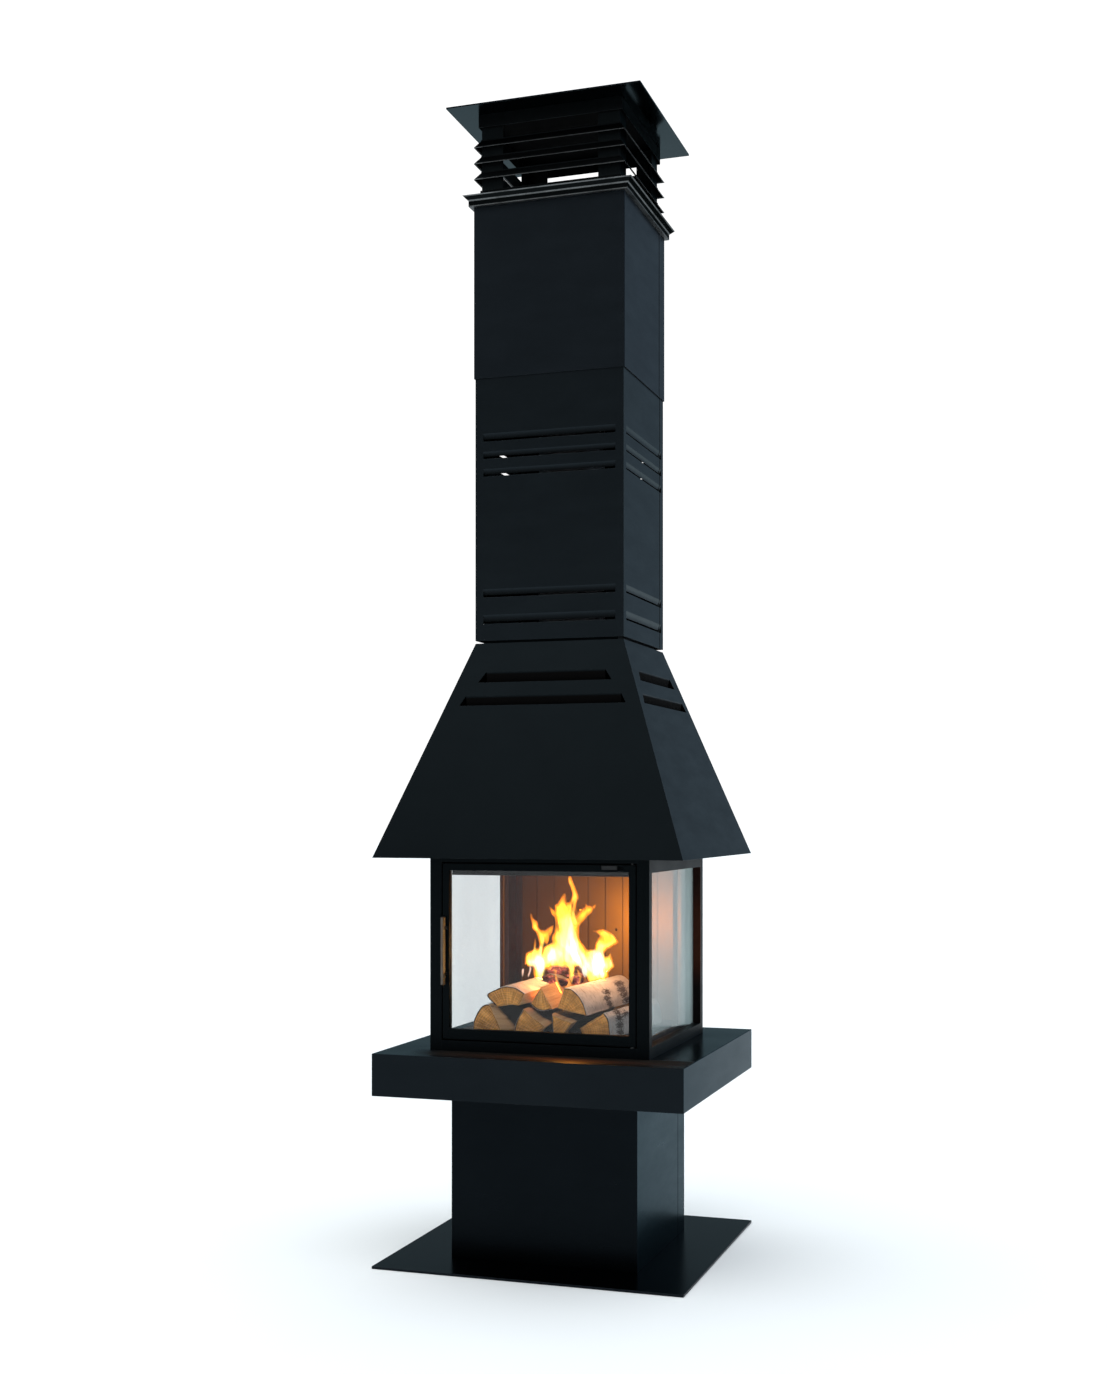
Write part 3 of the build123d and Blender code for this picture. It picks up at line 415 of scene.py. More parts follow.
def pane_with_painted_reflection(name, haze, light):
    """Side panes: the same glass with a thin light haze over both faces; the haze is a painted reflection of the bright
    surroundings.
    """
    m, g = material(name)
    co = g.coords()
    cloud = g.noise(g.mapping(co, (1, 1, 0.4)), 6, 4, 0.6)
    x, y, z = g.xyz(co)
    # Painted reflection: the haze is lighter towards the rear of the pane.
    col = g.mix(g.remap(y, 0.08, 0.225), tuple(c * 0.60 for c in light), tuple(c * 1.10 for c in light))
    col = g.mix(g.math("MULTIPLY", cloud, 0.12), col, (0.9, 0.9, 0.9))
    line = g.remap(y, 0.028, 0.236, 0.604, 0.587)
    above = g.remap(g.math("SUBTRACT", z, line), -0.002, 0.002, 0.0, 1.0)
    alpha = g.math("MULTIPLY", g.remap(cloud, 0.3, 0.7, haze - 0.02, haze + 0.02), above)
    p = g.principled(Base_Color=col, Roughness=0.10, Specular_IOR_Level=0.20, Alpha=alpha)
    g.surface(p.outputs[0])
    return m


def fireclay(name):
    """Pressed fireclay board: sandy grain, soot rising from below."""
    m, g = material(name)
    co = g.coords()
    x, y, z = g.xyz(co)
    grain = g.noise(co, 420, 4, 0.7)
    cloud = g.noise(co, 7, 5, 0.6)
    col = g.mix(g.remap(cloud, 0.3, 0.7), (0.055, 0.0172, 0.0095), (0.080, 0.0258, 0.0135))
    col = g.mix(g.remap(grain, 0.4, 0.7, 0, 0.35), col, (0.063, 0.0215, 0.0165))
    streak = g.noise(g.mapping(co, (38, 38, 2.0)), 1.0, 4, 0.6)
    soot = g.math("MULTIPLY", g.remap(streak, 0.42, 0.72), g.remap(z, 0.70, 1.03, 0.25, 0.5))
    low = g.remap(g.math("ADD", z, g.math("MULTIPLY", cloud, 0.10)), 0.80, 0.66, 0.0, 0.55, True)
    col = g.mix(g.math("ADD", g.math("MULTIPLY", soot, 0.35), low, clamp=True), col, (0.020, 0.013, 0.012))
    n = g.bump(grain, 0.4, 0.0004, g.bevel(0.0012, 4))
    p = g.principled(Base_Color=col, Roughness=0.88, Specular_IOR_Level=0.04, Normal=n)
    g.surface(p.outputs[0])
    return m


def cast(name, colour, rough=0.6):
    """Raw casting with soot and ash dust in its hollows."""
    m, g = material(name)
    co = g.coords()
    sand = g.noise(co, 260, 5, 0.7)
    ash = g.remap(g.noise(co, 31, 6, 0.65), 0.45, 0.72)
    col = g.mix(g.math("MULTIPLY", ash, 0.30), colour, (0.16, 0.145, 0.13))
    n = g.bump(sand, 0.5, 0.0005, g.bevel(0.0008, 4))
    p = g.principled(Base_Color=col, Roughness=g.remap(sand, 0.3, 0.7, rough - 0.06, rough + 0.12), Specular_IOR_Level=0.3, Normal=n)
    g.surface(p.outputs[0])
    return m


def rope(name):
    """Braided glass rope."""
    m, g = material(name)
    co = g.coords()
    w1 = g.wave(g.mapping(co, (1, 1, 1), rot=(0.0, 0.78, 0.6)), 210, 0.6, 1, 2)
    w2 = g.wave(g.mapping(co, (1, 1, 1), rot=(0.0, -0.78, -0.6)), 210, 0.6, 1, 2)
    braid = g.math("MAXIMUM", w1, w2)
    col = g.mix(braid, (0.012, 0.012, 0.012), (0.07, 0.07, 0.068))
    p = g.principled(Base_Color=col, Roughness=0.9, Specular_IOR_Level=0.2, Normal=g.bump(braid, 0.8, 0.0005))
    g.surface(p.outputs[0])
    return m


# These copies of one black stove paint differ in face and rim as painted light and shade: each is tuned to how light
# falls on its part, the pedestal darkest as painted shade under the table.
body_paint = enamel("body_paint_coat", (0.0178, 0.0228, 0.0280), (0.618, 0.634, 0.655), 0.36)
upper_paint = enamel("upper_casing_paint_coat", (0.0178, 0.0228, 0.0280), (0.618, 0.634, 0.655), 0.36, shade=upper_seam_painted_shade)
casing_paint = enamel("casing_paint_coat", (0.0150, 0.0196, 0.0232), (0.630, 0.652, 0.668), 0.36, shade=strip_painted_shade, painted_highlight=strip_painted_highlight)
hood_paint = enamel("hood_paint_coat", (0.0066, 0.0090, 0.0105), (0.630, 0.650, 0.673), 0.36, shade=blade_painted_shade)
pedestal_paint = enamel("pedestal_paint_coat", (0.0050, 0.0068, 0.0084), (0.515, 0.58, 0.615), 0.28, shade=pedestal_seam_painted_shade)
table_paint = enamel("table_paint_coat", (0.0086, 0.0113, 0.0136), (0.46, 0.50, 0.525), 0.20, shade=table_painted_glow)
base_paint = enamel("base_paint_coat", (0.010, 0.013, 0.016), (0.60, 0.60, 0.61), 0.20)
frame_paint = paint("frame_paint_coat", (0.0027, 0.0037, 0.0043), 0.40, 0.04, edge=0.35, sheen=0.0, shade=post_painted_glow)
cap_paint = enamel("cap_paint_coat", (0.010, 0.0125, 0.0135), (0.452, 0.466, 0.470), 0.40, edge=0.35)
plate_paint = enamel("cap_plate_paint_coat", (0.012, 0.016, 0.020), (0.60, 0.65, 0.66), 0.12, edge=0.35, shade=cap_painted_shade)
skirt_paint = enamel("cap_skirt_paint_coat", (0.0110, 0.0130, 0.0140), (0.452, 0.466, 0.470), 0.30, edge=0.35, shade=cap_painted_shade)
ring_paint = enamel("cap_ring_paint_coat", (0.0085, 0.0100, 0.0108), (0.440, 0.448, 0.450), 0.40, edge=0.35,
                    lines=(2.8713 + 0.0008, 2.9133 + 0.0008, 2.9565 + 0.0008))
collar_paint = enamel("collar_paint_coat", (0.0052, 0.0064, 0.0068), (0.428, 0.432, 0.430), 0.40, edge=0.8,
                      lines=(2.8240, 2.8125, 2.7978))
inner_steel = steel("inner_dark_steel", (0.030, 0.024, 0.021), 0.48, 0.35, 0.0, (1, 1, 8), 0.2)
zinc_steel = steel("zinc_plated", (0.42, 0.42, 0.43), 0.36)
flue_steel = steel("flue_dull_steel", (0.12, 0.12, 0.125), 0.42)
slider_steel = steel("slider_satin", (0.012, 0.014, 0.016), 0.42, 0.3, 0.0, (1, 1, 30))
deflector_steel = steel("deflector_dark_steel", (0.0064, 0.0070, 0.0074), 0.55, 0.2, 0.0, (1, 1, 8), 0.2, (0.012, 0.009, 0.008))
shell_steel = steel("firebox_shell_dark", (0.0060, 0.0058, 0.0056), 0.46, 0.2, 0.0, (1, 1, 8), 0.2, (0.010, 0.008, 0.007), 0.25)
hinge_dark = steel("hinge_dark_steel", (0.020, 0.021, 0.022), 0.42, 0.4, 0.0)
brass_bush = steel("bush_brass", (0.50, 0.34, 0.12), 0.35)
angle_steel = steel("angle_heat_tinted", (0.095, 0.036, 0.028), 0.34, 0.3, 0.85, (40, 40, 1), 0.25, (0.05, 0.03, 0.028), 0.35)
cast_iron = cast("cast_iron_sooty", (0.020, 0.018, 0.017))
lining = fireclay("fireclay_board")
rope_seal = rope("glass_rope")
glass_front = pane("pane_front", 1.38, (0.985, 0.99, 0.985))
glass_right = pane_with_painted_reflection("pane_side_right", 0.45, (0.78, 0.93, 0.90))
glass_left = pane_with_painted_reflection("pane_side_left", 0.24, (0.80, 0.92, 0.93))


def handle_finish():
    """Blade of the handle: brown-black oxide with a rubbed bright front edge."""
    m, g = material("handle_oxide_and_bare_edge")
    co = g.coords()
    x, y, z = g.xyz(co)
    brushed = g.noise(g.mapping(co, (60, 60, 4)), 14, 4, 0.65)
    bare = g.remap(g.math("ADD", y, g.math("MULTIPLY", g.math("SUBTRACT", brushed, 0.5), 0.0016)), -0.3224, -0.3231, 0.0, 1.0, True)
    col = g.mix(bare, (0.0095, 0.0060, 0.0042), g.mix(brushed, (0.155, 0.130, 0.108), (0.092, 0.078, 0.067)))
    p = g.principled(Base_Color=col, Metallic=g.math("MULTIPLY", bare, 0.55), Roughness=g.mixf(bare, 0.42, 0.36),
                     Specular_IOR_Level=0.35, Normal=g.bump(brushed, 0.2, 0.0002))
    g.surface(p.outputs[0])
    return m


handle_steel = handle_finish()

BY_SLOT = {
    "base_paint": base_paint, "body_paint": body_paint, "inner_steel": inner_steel, "zinc_steel": zinc_steel,
    "frame_paint": frame_paint, "cast_iron": cast_iron, "lining": lining, "rope_seal": rope_seal,
    "flue_steel": flue_steel, "brass_bush": brass_bush, "handle_steel": handle_steel, "slider_steel": slider_steel,
    "stove_glass": glass_front, "firewood": cast_iron, "charred_wood": cast_iron,
}
BY_NODE = {
    "side_glass_right": glass_right, "side_glass_left": glass_left, "lining_angles": angle_steel,
    "pedestal_front_shell": pedestal_paint, "pedestal_back_panel": pedestal_paint, "hearth_table_shell": table_paint,
    "hinge_pins": hinge_dark, "hinge_bushes": hinge_dark,
    "cap_posts": cap_paint, "cap_louvre_rings": ring_paint, "cap_skirt": skirt_paint, "cap_top_plate": plate_paint,
    "cornice_collar": collar_paint, "lower_casing_front_shell": casing_paint, "lower_casing_back_panel": casing_paint,
    "hood": hood_paint, "neck_sleeve": frame_paint, "air_wash_deflector": deflector_steel,
    "insert_casing": shell_steel, "upper_casing_front_shell": upper_paint, "upper_casing_back_panel": upper_paint,
}
SLOT_OF = {s["node"]: s["material_slot"] for s in frame["record"]["subparts"]}
for name, ob in NODES.items():
    m = BY_NODE.get(name) or BY_SLOT[SLOT_OF[name]]
    ob.data.materials.clear()
    ob.data.materials.append(m)


# ----------------------------------------------------------------------------
# Firewood
# ----------------------------------------------------------------------------
def birch_bark():
    """UV: u runs round the log, v along it, in metres."""
    m, g = material("birch_bark")
    uv = g.uv()
    u, v, w = g.xyz(uv)
    cloud = g.noise(uv, 26, 4, 0.6)
    fine = g.noise(uv, 160, 5, 0.7)
    col = g.mix(g.remap(cloud, 0.32, 0.68), (0.60, 0.53, 0.50), (0.72, 0.65, 0.63))
    peel = g.remap(g.noise(g.mapping(uv, (5, 26, 1), loc=(3.1, 0.7, 0)), 2.0, 5, 0.7), 0.60, 0.70)
    col = g.mix(g.math("MULTIPLY", peel, 0.5), col, (0.56, 0.34, 0.22))
    dash = g.noise(g.mapping(uv, (42, 420, 1)), 1.0, 3, 0.55)
    dash2 = g.noise(g.mapping(uv, (90, 900, 1), loc=(7.7, 2.2, 0)), 1.0, 2, 0.5)
    marks = g.math("MAXIMUM", g.remap(dash, 0.60, 0.655), g.math("MULTIPLY", g.remap(dash2, 0.62, 0.68), 0.75))
    col = g.mix(marks, col, (0.10, 0.062, 0.045))
    patch = g.attr("patch")
    torn = g.noise(g.mapping(uv, (260, 75, 1)), 1.0, 6, 0.8)
    dark = g.remap(g.math("ADD", patch, g.math("MULTIPLY", g.math("SUBTRACT", torn, 0.5), 3.2)), 0.55, 0.78)
    col = g.mix(dark, col, g.mix(fine, (0.022, 0.015, 0.014), (0.12, 0.075, 0.060)))
    # Painted shade from the shade attribute: bark deeper in the stack and on faces turned down goes near black.
    col = g.mix(g.math("MULTIPLY", g.attr("shade"), 0.98), col, (0.0045, 0.0028, 0.0022))
    rough = g.mixf(dark, 0.62, 0.9)
    h = g.math("ADD", g.math("MULTIPLY", fine, 0.5), g.math("MULTIPLY", marks, -0.7))
    h = g.math("ADD", h, g.math("MULTIPLY", g.math("MULTIPLY", dark, torn), 2.2))
    p = g.principled(Base_Color=col, Roughness=rough, Specular_IOR_Level=0.12, Normal=g.bump(h, 0.55, 0.0012))
    g.surface(p.outputs[0])
    return m


def split_wood():
    """Riven birch: long fibres, torn slivers, a darker heart."""
    m, g = material("split_wood")
    uv = g.uv()
    fib = g.noise(g.mapping(uv, (520, 9, 1)), 1.0, 5, 0.65)
    band = g.noise(g.mapping(uv, (95, 3, 1)), 1.0, 4, 0.6, 0.4)
    col = g.mix(g.remap(fib, 0.3, 0.7), (0.46, 0.235, 0.095), (0.74, 0.47, 0.245))
    col = g.mix(g.remap(band, 0.42, 0.70, 0.0, 0.6), col, (0.40, 0.185, 0.07))
    knot = g.remap(g.voronoi(g.mapping(uv, (1, 0.6, 1)), 14), 0.10, 0.04, 0.0, 0.6)
    col = g.mix(knot, col, (0.16, 0.075, 0.035))
    # The soot attribute here carries painted shade: riven faces deeper in the stack and on faces turned down go near
    # black.
    soot = g.math("ADD", g.attr("soot"), g.math("MULTIPLY", g.math("SUBTRACT", band, 0.5), 0.5))
    col = g.mix(g.remap(soot, 0.3, 0.75, 0.0, 0.96), col, (0.0035, 0.0022, 0.0018))
    h = g.math("ADD", fib, g.math("MULTIPLY", band, 1.4))
    p = g.principled(Base_Color=col, Roughness=0.78, Specular_IOR_Level=0.08, Normal=g.bump(h, 0.5, 0.001))
    g.surface(p.outputs[0])
    return m


def end_grain():
    """Sawn end. UV origin is the pith, in metres."""
    m, g = material("end_grain")
    uv = g.uv()
    warp = g.noise(uv, 22, 3, 0.5, out="Color")
    wv = g.new("ShaderNodeVectorMath", operation="MULTIPLY_ADD")
    g.put(wv.inputs[0], warp)
    wv.inputs[1].default_value = (0.010, 0.010, 0.0)
    g.put(wv.inputs[2], uv)
    rings = g.wave(wv.outputs[0], 47, 1.6, 3, 2.0, "RINGS", "Z", "SAW")
    x, y, z = g.xyz(uv)
    ang = g.math("ARCTAN2", y, x)
    r = g.new("ShaderNodeVectorMath", operation="LENGTH")
    g.put(r.inputs[0], uv)
    r = r.outputs["Value"]
    rays = g.noise(g.combine(g.math("MULTIPLY", ang, 22.0), g.math("MULTIPLY", r, 14.0), 0.0), 1.0, 4, 0.65)
    saw = g.noise(g.mapping(uv, (60, 900, 1), rot=(0, 0, 0.5)), 1.0, 2, 0.5)
    pores = g.noise(uv, 900, 2, 0.5)
    blot = g.noise(uv, 30, 4, 0.6)
    # The sawn end's strong orange, and the bright ray streaks below, are partly the wood's own tone and partly the
    # fire's light painted into the colour.
    col = g.mix(g.remap(blot, 0.36, 0.64), (0.47, 0.185, 0.030), (0.93, 0.400, 0.070))
    col = g.mix(g.remap(rays, 0.46, 0.32, 0.0, 0.55), col, (0.30, 0.115, 0.022))
    col = g.mix(g.math("MULTIPLY", g.remap(rings, 0.45, 1.0), 0.62), col, (0.30, 0.100, 0.017))
    col = g.mix(g.remap(rays, 0.48, 0.66, 0.0, 0.80), col, (1.0, 0.52, 0.15))
    col = g.mix(g.remap(pores, 0.56, 0.72, 0.0, 0.35), col, (0.22, 0.12, 0.05))
    edge = g.attr("rim")
    col = g.mix(g.math("MULTIPLY", edge, 0.75), col, (0.14, 0.065, 0.028))
    crack = g.remap(g.noise(g.combine(g.math("MULTIPLY", ang, 5.5), g.math("MULTIPLY", r, 3.0), 1.7), 1.0, 2, 0.4), 0.492, 0.5)
    crack2 = g.remap(g.noise(g.combine(g.math("MULTIPLY", ang, 5.5), g.math("MULTIPLY", r, 3.0), 1.7), 1.0, 2, 0.4), 0.508, 0.5)
    cr = g.math("MULTIPLY", g.math("MULTIPLY", crack, crack2), g.remap(r, 0.015, 0.07, 0.7, 0.15))
    col = g.mix(cr, col, (0.07, 0.035, 0.02))
    h = g.math("ADD", g.math("ADD", g.math("MULTIPLY", rings, 0.5), saw), g.math("MULTIPLY", cr, -3.0))
    p = g.principled(Base_Color=col, Roughness=0.78, Specular_IOR_Level=0.12, Normal=g.bump(h, 0.45, 0.0007))
    g.surface(p.outputs[0])
    return m


def bark_rim():
    m, g = material("bark_rim")
    n = g.noise(g.coords(), 260, 4, 0.7)
    p = g.principled(Base_Color=g.mix(n, (0.010, 0.006, 0.005), (0.045, 0.025, 0.016)), Roughness=0.85,
                     Specular_IOR_Level=0.2, Normal=g.bump(n, 0.5, 0.0006))
    g.surface(p.outputs[0])
    return m


WOOD = [end_grain(), split_wood(), birch_bark(), bark_rim()]

# Outlines in mm (X, Z). "b" is an edge covered with bark, "s" is riven. near: the
# outline at the sawn near end where that end is narrower than the log behind it.
# pith: centre of the growth rings. dark: torn patches on the bark (round, along, sizes).
LOGS = {
    "log_1": dict(out=((-204, 596.8), (-203, 609), (-199, 636), (-182, 665), (-168, 676), (-152, 678), (-136, 664), (-90, 612), (-90, 596.8)),
                  kind="bbbbbssss", near={5: (-157, 677), 6: (-149, 668), 7: (-125, 614), 8: (-119, 597)}, pith=(-92, 588), chip=32),
    "log_2": dict(out=((-84, 596.8), (-86, 611), (-78, 638), (-56, 671), (10, 631), (-12, 612), (-22, 596.8)),
                  kind="bbbssss", near={3: (-61, 668), 4: (0, 622), 5: (-13, 610)}, pith=(2, 590), chip=30),
    "log_3": dict(out=((16, 658), (80, 638), (57, 612), (50, 596.8), (24, 596.8), (20, 616)),
                  kind="ssssbb", near={0: (18, 655), 1: (74, 636)}, pith=(88, 668), chip=14),
    "log_4": dict(out=((92, 622), (160, 666), (173, 648), (179, 606), (178, 596.8), (106, 596.8)),
                  kind="sbbbss", near={}, pith=(84, 612), chip=10),
    "log_5": dict(out=((-166, 699), (-143, 714), (-115, 725), (-87, 722), (-56, 709), (-50, 681), (-76, 673), (-95, 675.5), (-140, 670.5)),
                  kind="bbbbssssb", near={4: (-58, 707), 5: (-73, 678)}, pith=(-105, 645), chip=34),
    "log_6": dict(out=((-16, 727), (-44, 681), (-27, 667), (-4, 663), (18, 668.5)),
                  kind="sbbbs", near={}, pith=(-15, 742), chip=10),
    "log_7": dict(out=((46, 725), (65, 723), (87, 706), (103, 680), (110, 655), (60, 662.5), (24, 669.5), (36, 700)),
                  kind="bbbbssss", near={}, pith=(34, 650), chip=10),
}
SKEW = {"log_4": math.radians(-5), "log_7": math.radians(-5)}
PATCHES = {
    "log_4": ((88, -150, 15, 34), (106, -152, 17, 38), (126, -158, 15, 40), (144, -160, 12, 36), (100, -105, 12, 30)),
    "log_7": ((56, -34, 14, 30), (74, -55, 13, 34), (88, -52, 13, 32), (103, -44, 11, 30),
              (42, 84, 15, 46), (60, 76, 15, 46), (76, 74, 14, 44), (92, 80, 13, 46)),
}


def outline(points, kind, step):
    """Closed outline with bark edges rounded off, as (x, z, kind, corner) samples."""
    n = len(points)
    P = [Vector((p[0], p[1])) for p in points]
    out = []
    for i in range(n):
        a, b = P[i], P[(i + 1) % n]
        k = max(2, round((b - a).length / step))
        for j in range(k):
            t = j / k
            if kind[i] == "b":
                p0 = P[i - 1] if kind[i - 1] == "b" else a - (b - a)
                p3 = P[(i + 2) % n] if kind[(i + 1) % n] == "b" else b + (b - a)
                t2, t3 = t * t, t * t * t
                q = 0.5 * (2 * a + (b - p0) * t + (2 * p0 - 5 * a + 4 * b - p3) * t2 + (3 * a - p0 - 3 * b + p3) * t3)
            else:
                q = a.lerp(b, t)
            out.append((q, kind[i], j == 0))
    return out


def wood_log(name, spec, y0, y1, seed):
    near_pts = [spec["near"].get(i, p) for i, p in enumerate(spec["out"])]
    far = outline(spec["out"], spec["kind"], 3.2)
    # the near outline takes the same number of samples on every edge
    near = []
    n = len(near_pts)
    idx = 0
    P = [Vector(p) for p in near_pts]
    Q = [Vector(p) for p in spec["out"]]
    edges = []
    for q, k, first in far:
        if first:
            edges.append([])
        edges[-1].append(q)
    for i, samples in enumerate(edges):
        a, b, c, d = Q[i], Q[(i + 1) % n], P[i], P[(i + 1) % n]
        for j, q in enumerate(samples):
            t = j / len(samples)
            near.append(q + (c - a).lerp(d - b, t))
    far_p = [q for q, k, f in far]
    kinds = [k for q, k, f in far]
    N = len(far_p)
    cen = sum(far_p, Vector((0, 0))) / N
    cen_n = sum(near, Vector((0, 0))) / N
    arc = [0.0]
    for i in range(N):
        arc.append(arc[-1] + (far_p[(i + 1) % N] - far_p[i]).length)
    step = 5.0
    M = int((y1 - y0) / step)
    ys = [y0, y0 + 0.7] + [y0 + (y1 - y0) * j / M for j in range(1, M)] + [y1 - 0.7, y1]
    rnd = random.Random(seed)
    off = Vector((rnd.uniform(0, 50), rnd.uniform(0, 50), rnd.uniform(0, 50)))
    normals = []
    for i in range(N):
        t = far_p[(i + 1) % N] - far_p[i - 1]
        nrm = Vector((t.y, -t.x)).normalized()
        if nrm.dot(far_p[i] - cen) < 0:
            nrm = -nrm
        normals.append(nrm)
    bm = bmesh.new()
    uvl = bm.loops.layers.uv.new("UVMap")
    dpatch = bm.verts.layers.float.new("patch")
    drim = bm.verts.layers.float.new("rim")
    dpainted_shade_split = bm.verts.layers.float.new("soot")
    dpainted_shade_bark = bm.verts.layers.float.new("shade")
    low = name in ("log_1", "log_2", "log_3", "log_4")
    skew = SKEW.get(name, 0.0)

    def place(x, y, z):
        # mm in the log's own run to metres in the scene
        dx, dy = x - 135.0, y - LOG_Y0
        c, s = math.cos(skew), math.sin(skew)
        if skew:
            x, y = 135.0 + dx * c - dy * s, LOG_Y0 + dx * s + dy * c
        return Vector((x, y, z)) * MM

    rings = []
    for j, y in enumerate(ys):
        t = min(1.0, max(0.0, (y - y0) / spec["chip"]))
        ring = []
        for i in range(N):
            p = near[i].lerp(far_p[i], t)
            s = arc[i]
            q = Vector((s * 0.12, y * 0.006, 0.0)) + off
            if kinds[i] == "s":
                ridge = 1.0 - abs(noise.noise(q)) * 2.0
                h = -0.9 + ridge * 0.9 + noise.noise(Vector((s * 0.5, y * 0.02, 3.0)) + off) * 0.6
                h += noise.noise(Vector((s * 0.03, y * 0.012, 9.0)) + off) * 2.0
            else:
                h = noise.noise(Vector((s * 0.03, y * 0.03, 5.0)) + off) * 1.5 + noise.noise(Vector((s * 0.15, y * 0.3, 7.0)) + off) * 0.35
            corner = min(1.0, min(abs(arc[i] - a) for a in [0.0, arc[N]]) / 6.0) * 0.5 + 0.5
            p = p + normals[i] * (h * corner - 0.5)
            if j in (0, len(ys) - 1):
                p = p - (p - cen).normalized() * 0.7
            v = bm.verts.new(place(p.x, y, p.y))
            for (ps, py, rs, ry) in PATCHES.get(name, ()):
                d = ((s - ps) / rs) ** 2 + ((y - py) / ry) ** 2
                v[dpatch] = max(v[dpatch], math.exp(-d * 0.9))
            # Painted shade kept in attributes: the wood darkens deeper behind the front end on the lower logs and on
            # faces turned down on the upper ones, where the stack lies in shade.
            deep = min(1.0, max(0.0, (y - y0 - 16.0) / 26.0))
            under = min(1.0, max(0.0, (-0.35 - normals[i].y) / 0.25))
            v[dpainted_shade_split] = deep if low else deep * under
            v[dpainted_shade_bark] = deep if low and name != "log_4" else deep * under
            ring.append(v)
        rings.append(ring)
    for j in range(len(ys) - 1):
        for i in range(N):
            k = (i + 1) % N
            f = bm.faces.new((rings[j][i], rings[j][k], rings[j + 1][k], rings[j + 1][i]))
            f.material_index = 1 if kinds[i] == "s" else 2
            s0, s1 = arc[i] * MM, arc[i + 1] * MM
            for loop, (a, b) in zip(f.loops, ((s0, ys[j]), (s1, ys[j]), (s1, ys[j + 1]), (s0, ys[j + 1]))):
                loop[uvl].uv = (a + seed, b * MM)
            f.smooth = True
    pith = Vector(spec["pith"])
    for end, y, pts, c, sgn in ((0, ys[0], near, cen_n, -1), (-1, ys[-1], far_p, cen, 1)):
        layers = [rings[end]]
        fr = [None, 0.93, 0.85, 0.76, 0.66, 0.55, 0.43, 0.30, 0.16]
        for li in range(len(fr)):
            ring = []
            for i in range(N):
                b = Vector((layers[0][i].co.x, layers[0][i].co.z))
                e = pts[i] - (pts[i] - c).normalized() * 0.9
                if li == 0:
                    p = e - (e - c).normalized() * 3.2
                else:
                    p = c + (e - c) * fr[li]
                wob = noise.noise(Vector((p.x * 0.05, p.y * 0.05, 11.0)) + off) * 0.9 + noise.noise(Vector((p.x * 0.3, p.y * 0.3, 13.0)) + off) * 0.25
                v = bm.verts.new(place(p.x, y + wob, p.y))
                v[drim] = 1.0 if li == 0 else (0.5 if li == 1 else 0.0)
                ring.append(v)
            layers.append(ring)
        hub = bm.verts.new(place(c.x, y, c.y))

        def plan(v):
            # back to the log's own outline, for the ring pattern
            x, yy, z = v.co / MM
            if skew:
                dx, dy = x - 135.0, yy - LOG_Y0
                cc, ss = math.cos(-skew), math.sin(-skew)
                x = 135.0 + dx * cc - dy * ss
            return (x - pith.x) * MM, (z - pith.y) * MM

        for li in range(len(layers) - 1):
            for i in range(N):
                k = (i + 1) % N
                vs = (layers[li][i], layers[li + 1][i], layers[li + 1][k], layers[li][k])
                f = bm.faces.new(vs if sgn < 0 else vs[::-1])
                f.material_index = 3 if (li == 0 and kinds[i] == "b") else 0
                for loop in f.loops:
                    loop[uvl].uv = plan(loop.vert)
                f.smooth = True
        last = layers[-1]
        for i in range(N):
            k = (i + 1) % N
            vs = (last[i], hub, last[k])
            f = bm.faces.new(vs if sgn < 0 else vs[::-1])
            f.material_index = 0
            for loop in f.loops:
                loop[uvl].uv = plan(loop.vert)
            f.smooth = True
    # crisp edges where the sawn end and the bark or riven corners meet
    bmesh.ops.recalc_face_normals(bm, faces=bm.faces)
    for e in bm.edges:
        if len(e.link_faces) == 2:
            a, b = e.link_faces
            if a.material_index != b.material_index or a.normal.dot(b.normal) < 0.75:
                e.smooth = False
    me = bpy.data.meshes.new(name)
    bm.to_mesh(me)
    bm.free()
    for m in WOOD:
        me.materials.append(m)
    ob = bpy.data.objects.new(name, me)
    scene.collection.objects.link(ob)
    return ob


LOG_Y0, LOG_Y1 = -232.0, 165.0
wood = {}
for i, (name, spec) in enumerate(LOGS.items()):
    low = name in ("log_1", "log_2", "log_3", "log_4")
    wood[name] = wood_log(name, spec, LOG_Y0 if low else LOG_Y0 + 8, LOG_Y1, 11 + i * 3)


def join(objs, name):
    """One mesh object out of several, all of them at the origin."""
    bm = bmesh.new()
    mats = []
    for o in objs:
        part = o.data
        base = len(bm.faces)
        bm.from_mesh(part)
        bm.faces.ensure_lookup_table()
        remap = []
        for m in part.materials:
            if m not in mats:
                mats.append(m)
            remap.append(mats.index(m))
        for f in bm.faces[base:]:
            f.material_index = remap[f.material_index] if remap else 0
    me = bpy.data.meshes.new(name)
    bm.to_mesh(me)
    bm.free()
    for m in mats:
        me.materials.append(m)
    out = bpy.data.objects.new(name, me)
    scene.collection.objects.link(out)
    for o in objs:
        old = o.data
        bpy.data.objects.remove(o)
        bpy.data.meshes.remove(old)
    return out


lower_logs = join([wood[k] for k in ("log_1", "log_2", "log_3", "log_4")], "firewood_lower")
upper_logs = join([wood[k] for k in ("log_5", "log_6", "log_7")], "firewood_upper")
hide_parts("logs_lower")
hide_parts("logs_upper")
for ob in (lower_logs, upper_logs):
    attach(ob, "stove_body")


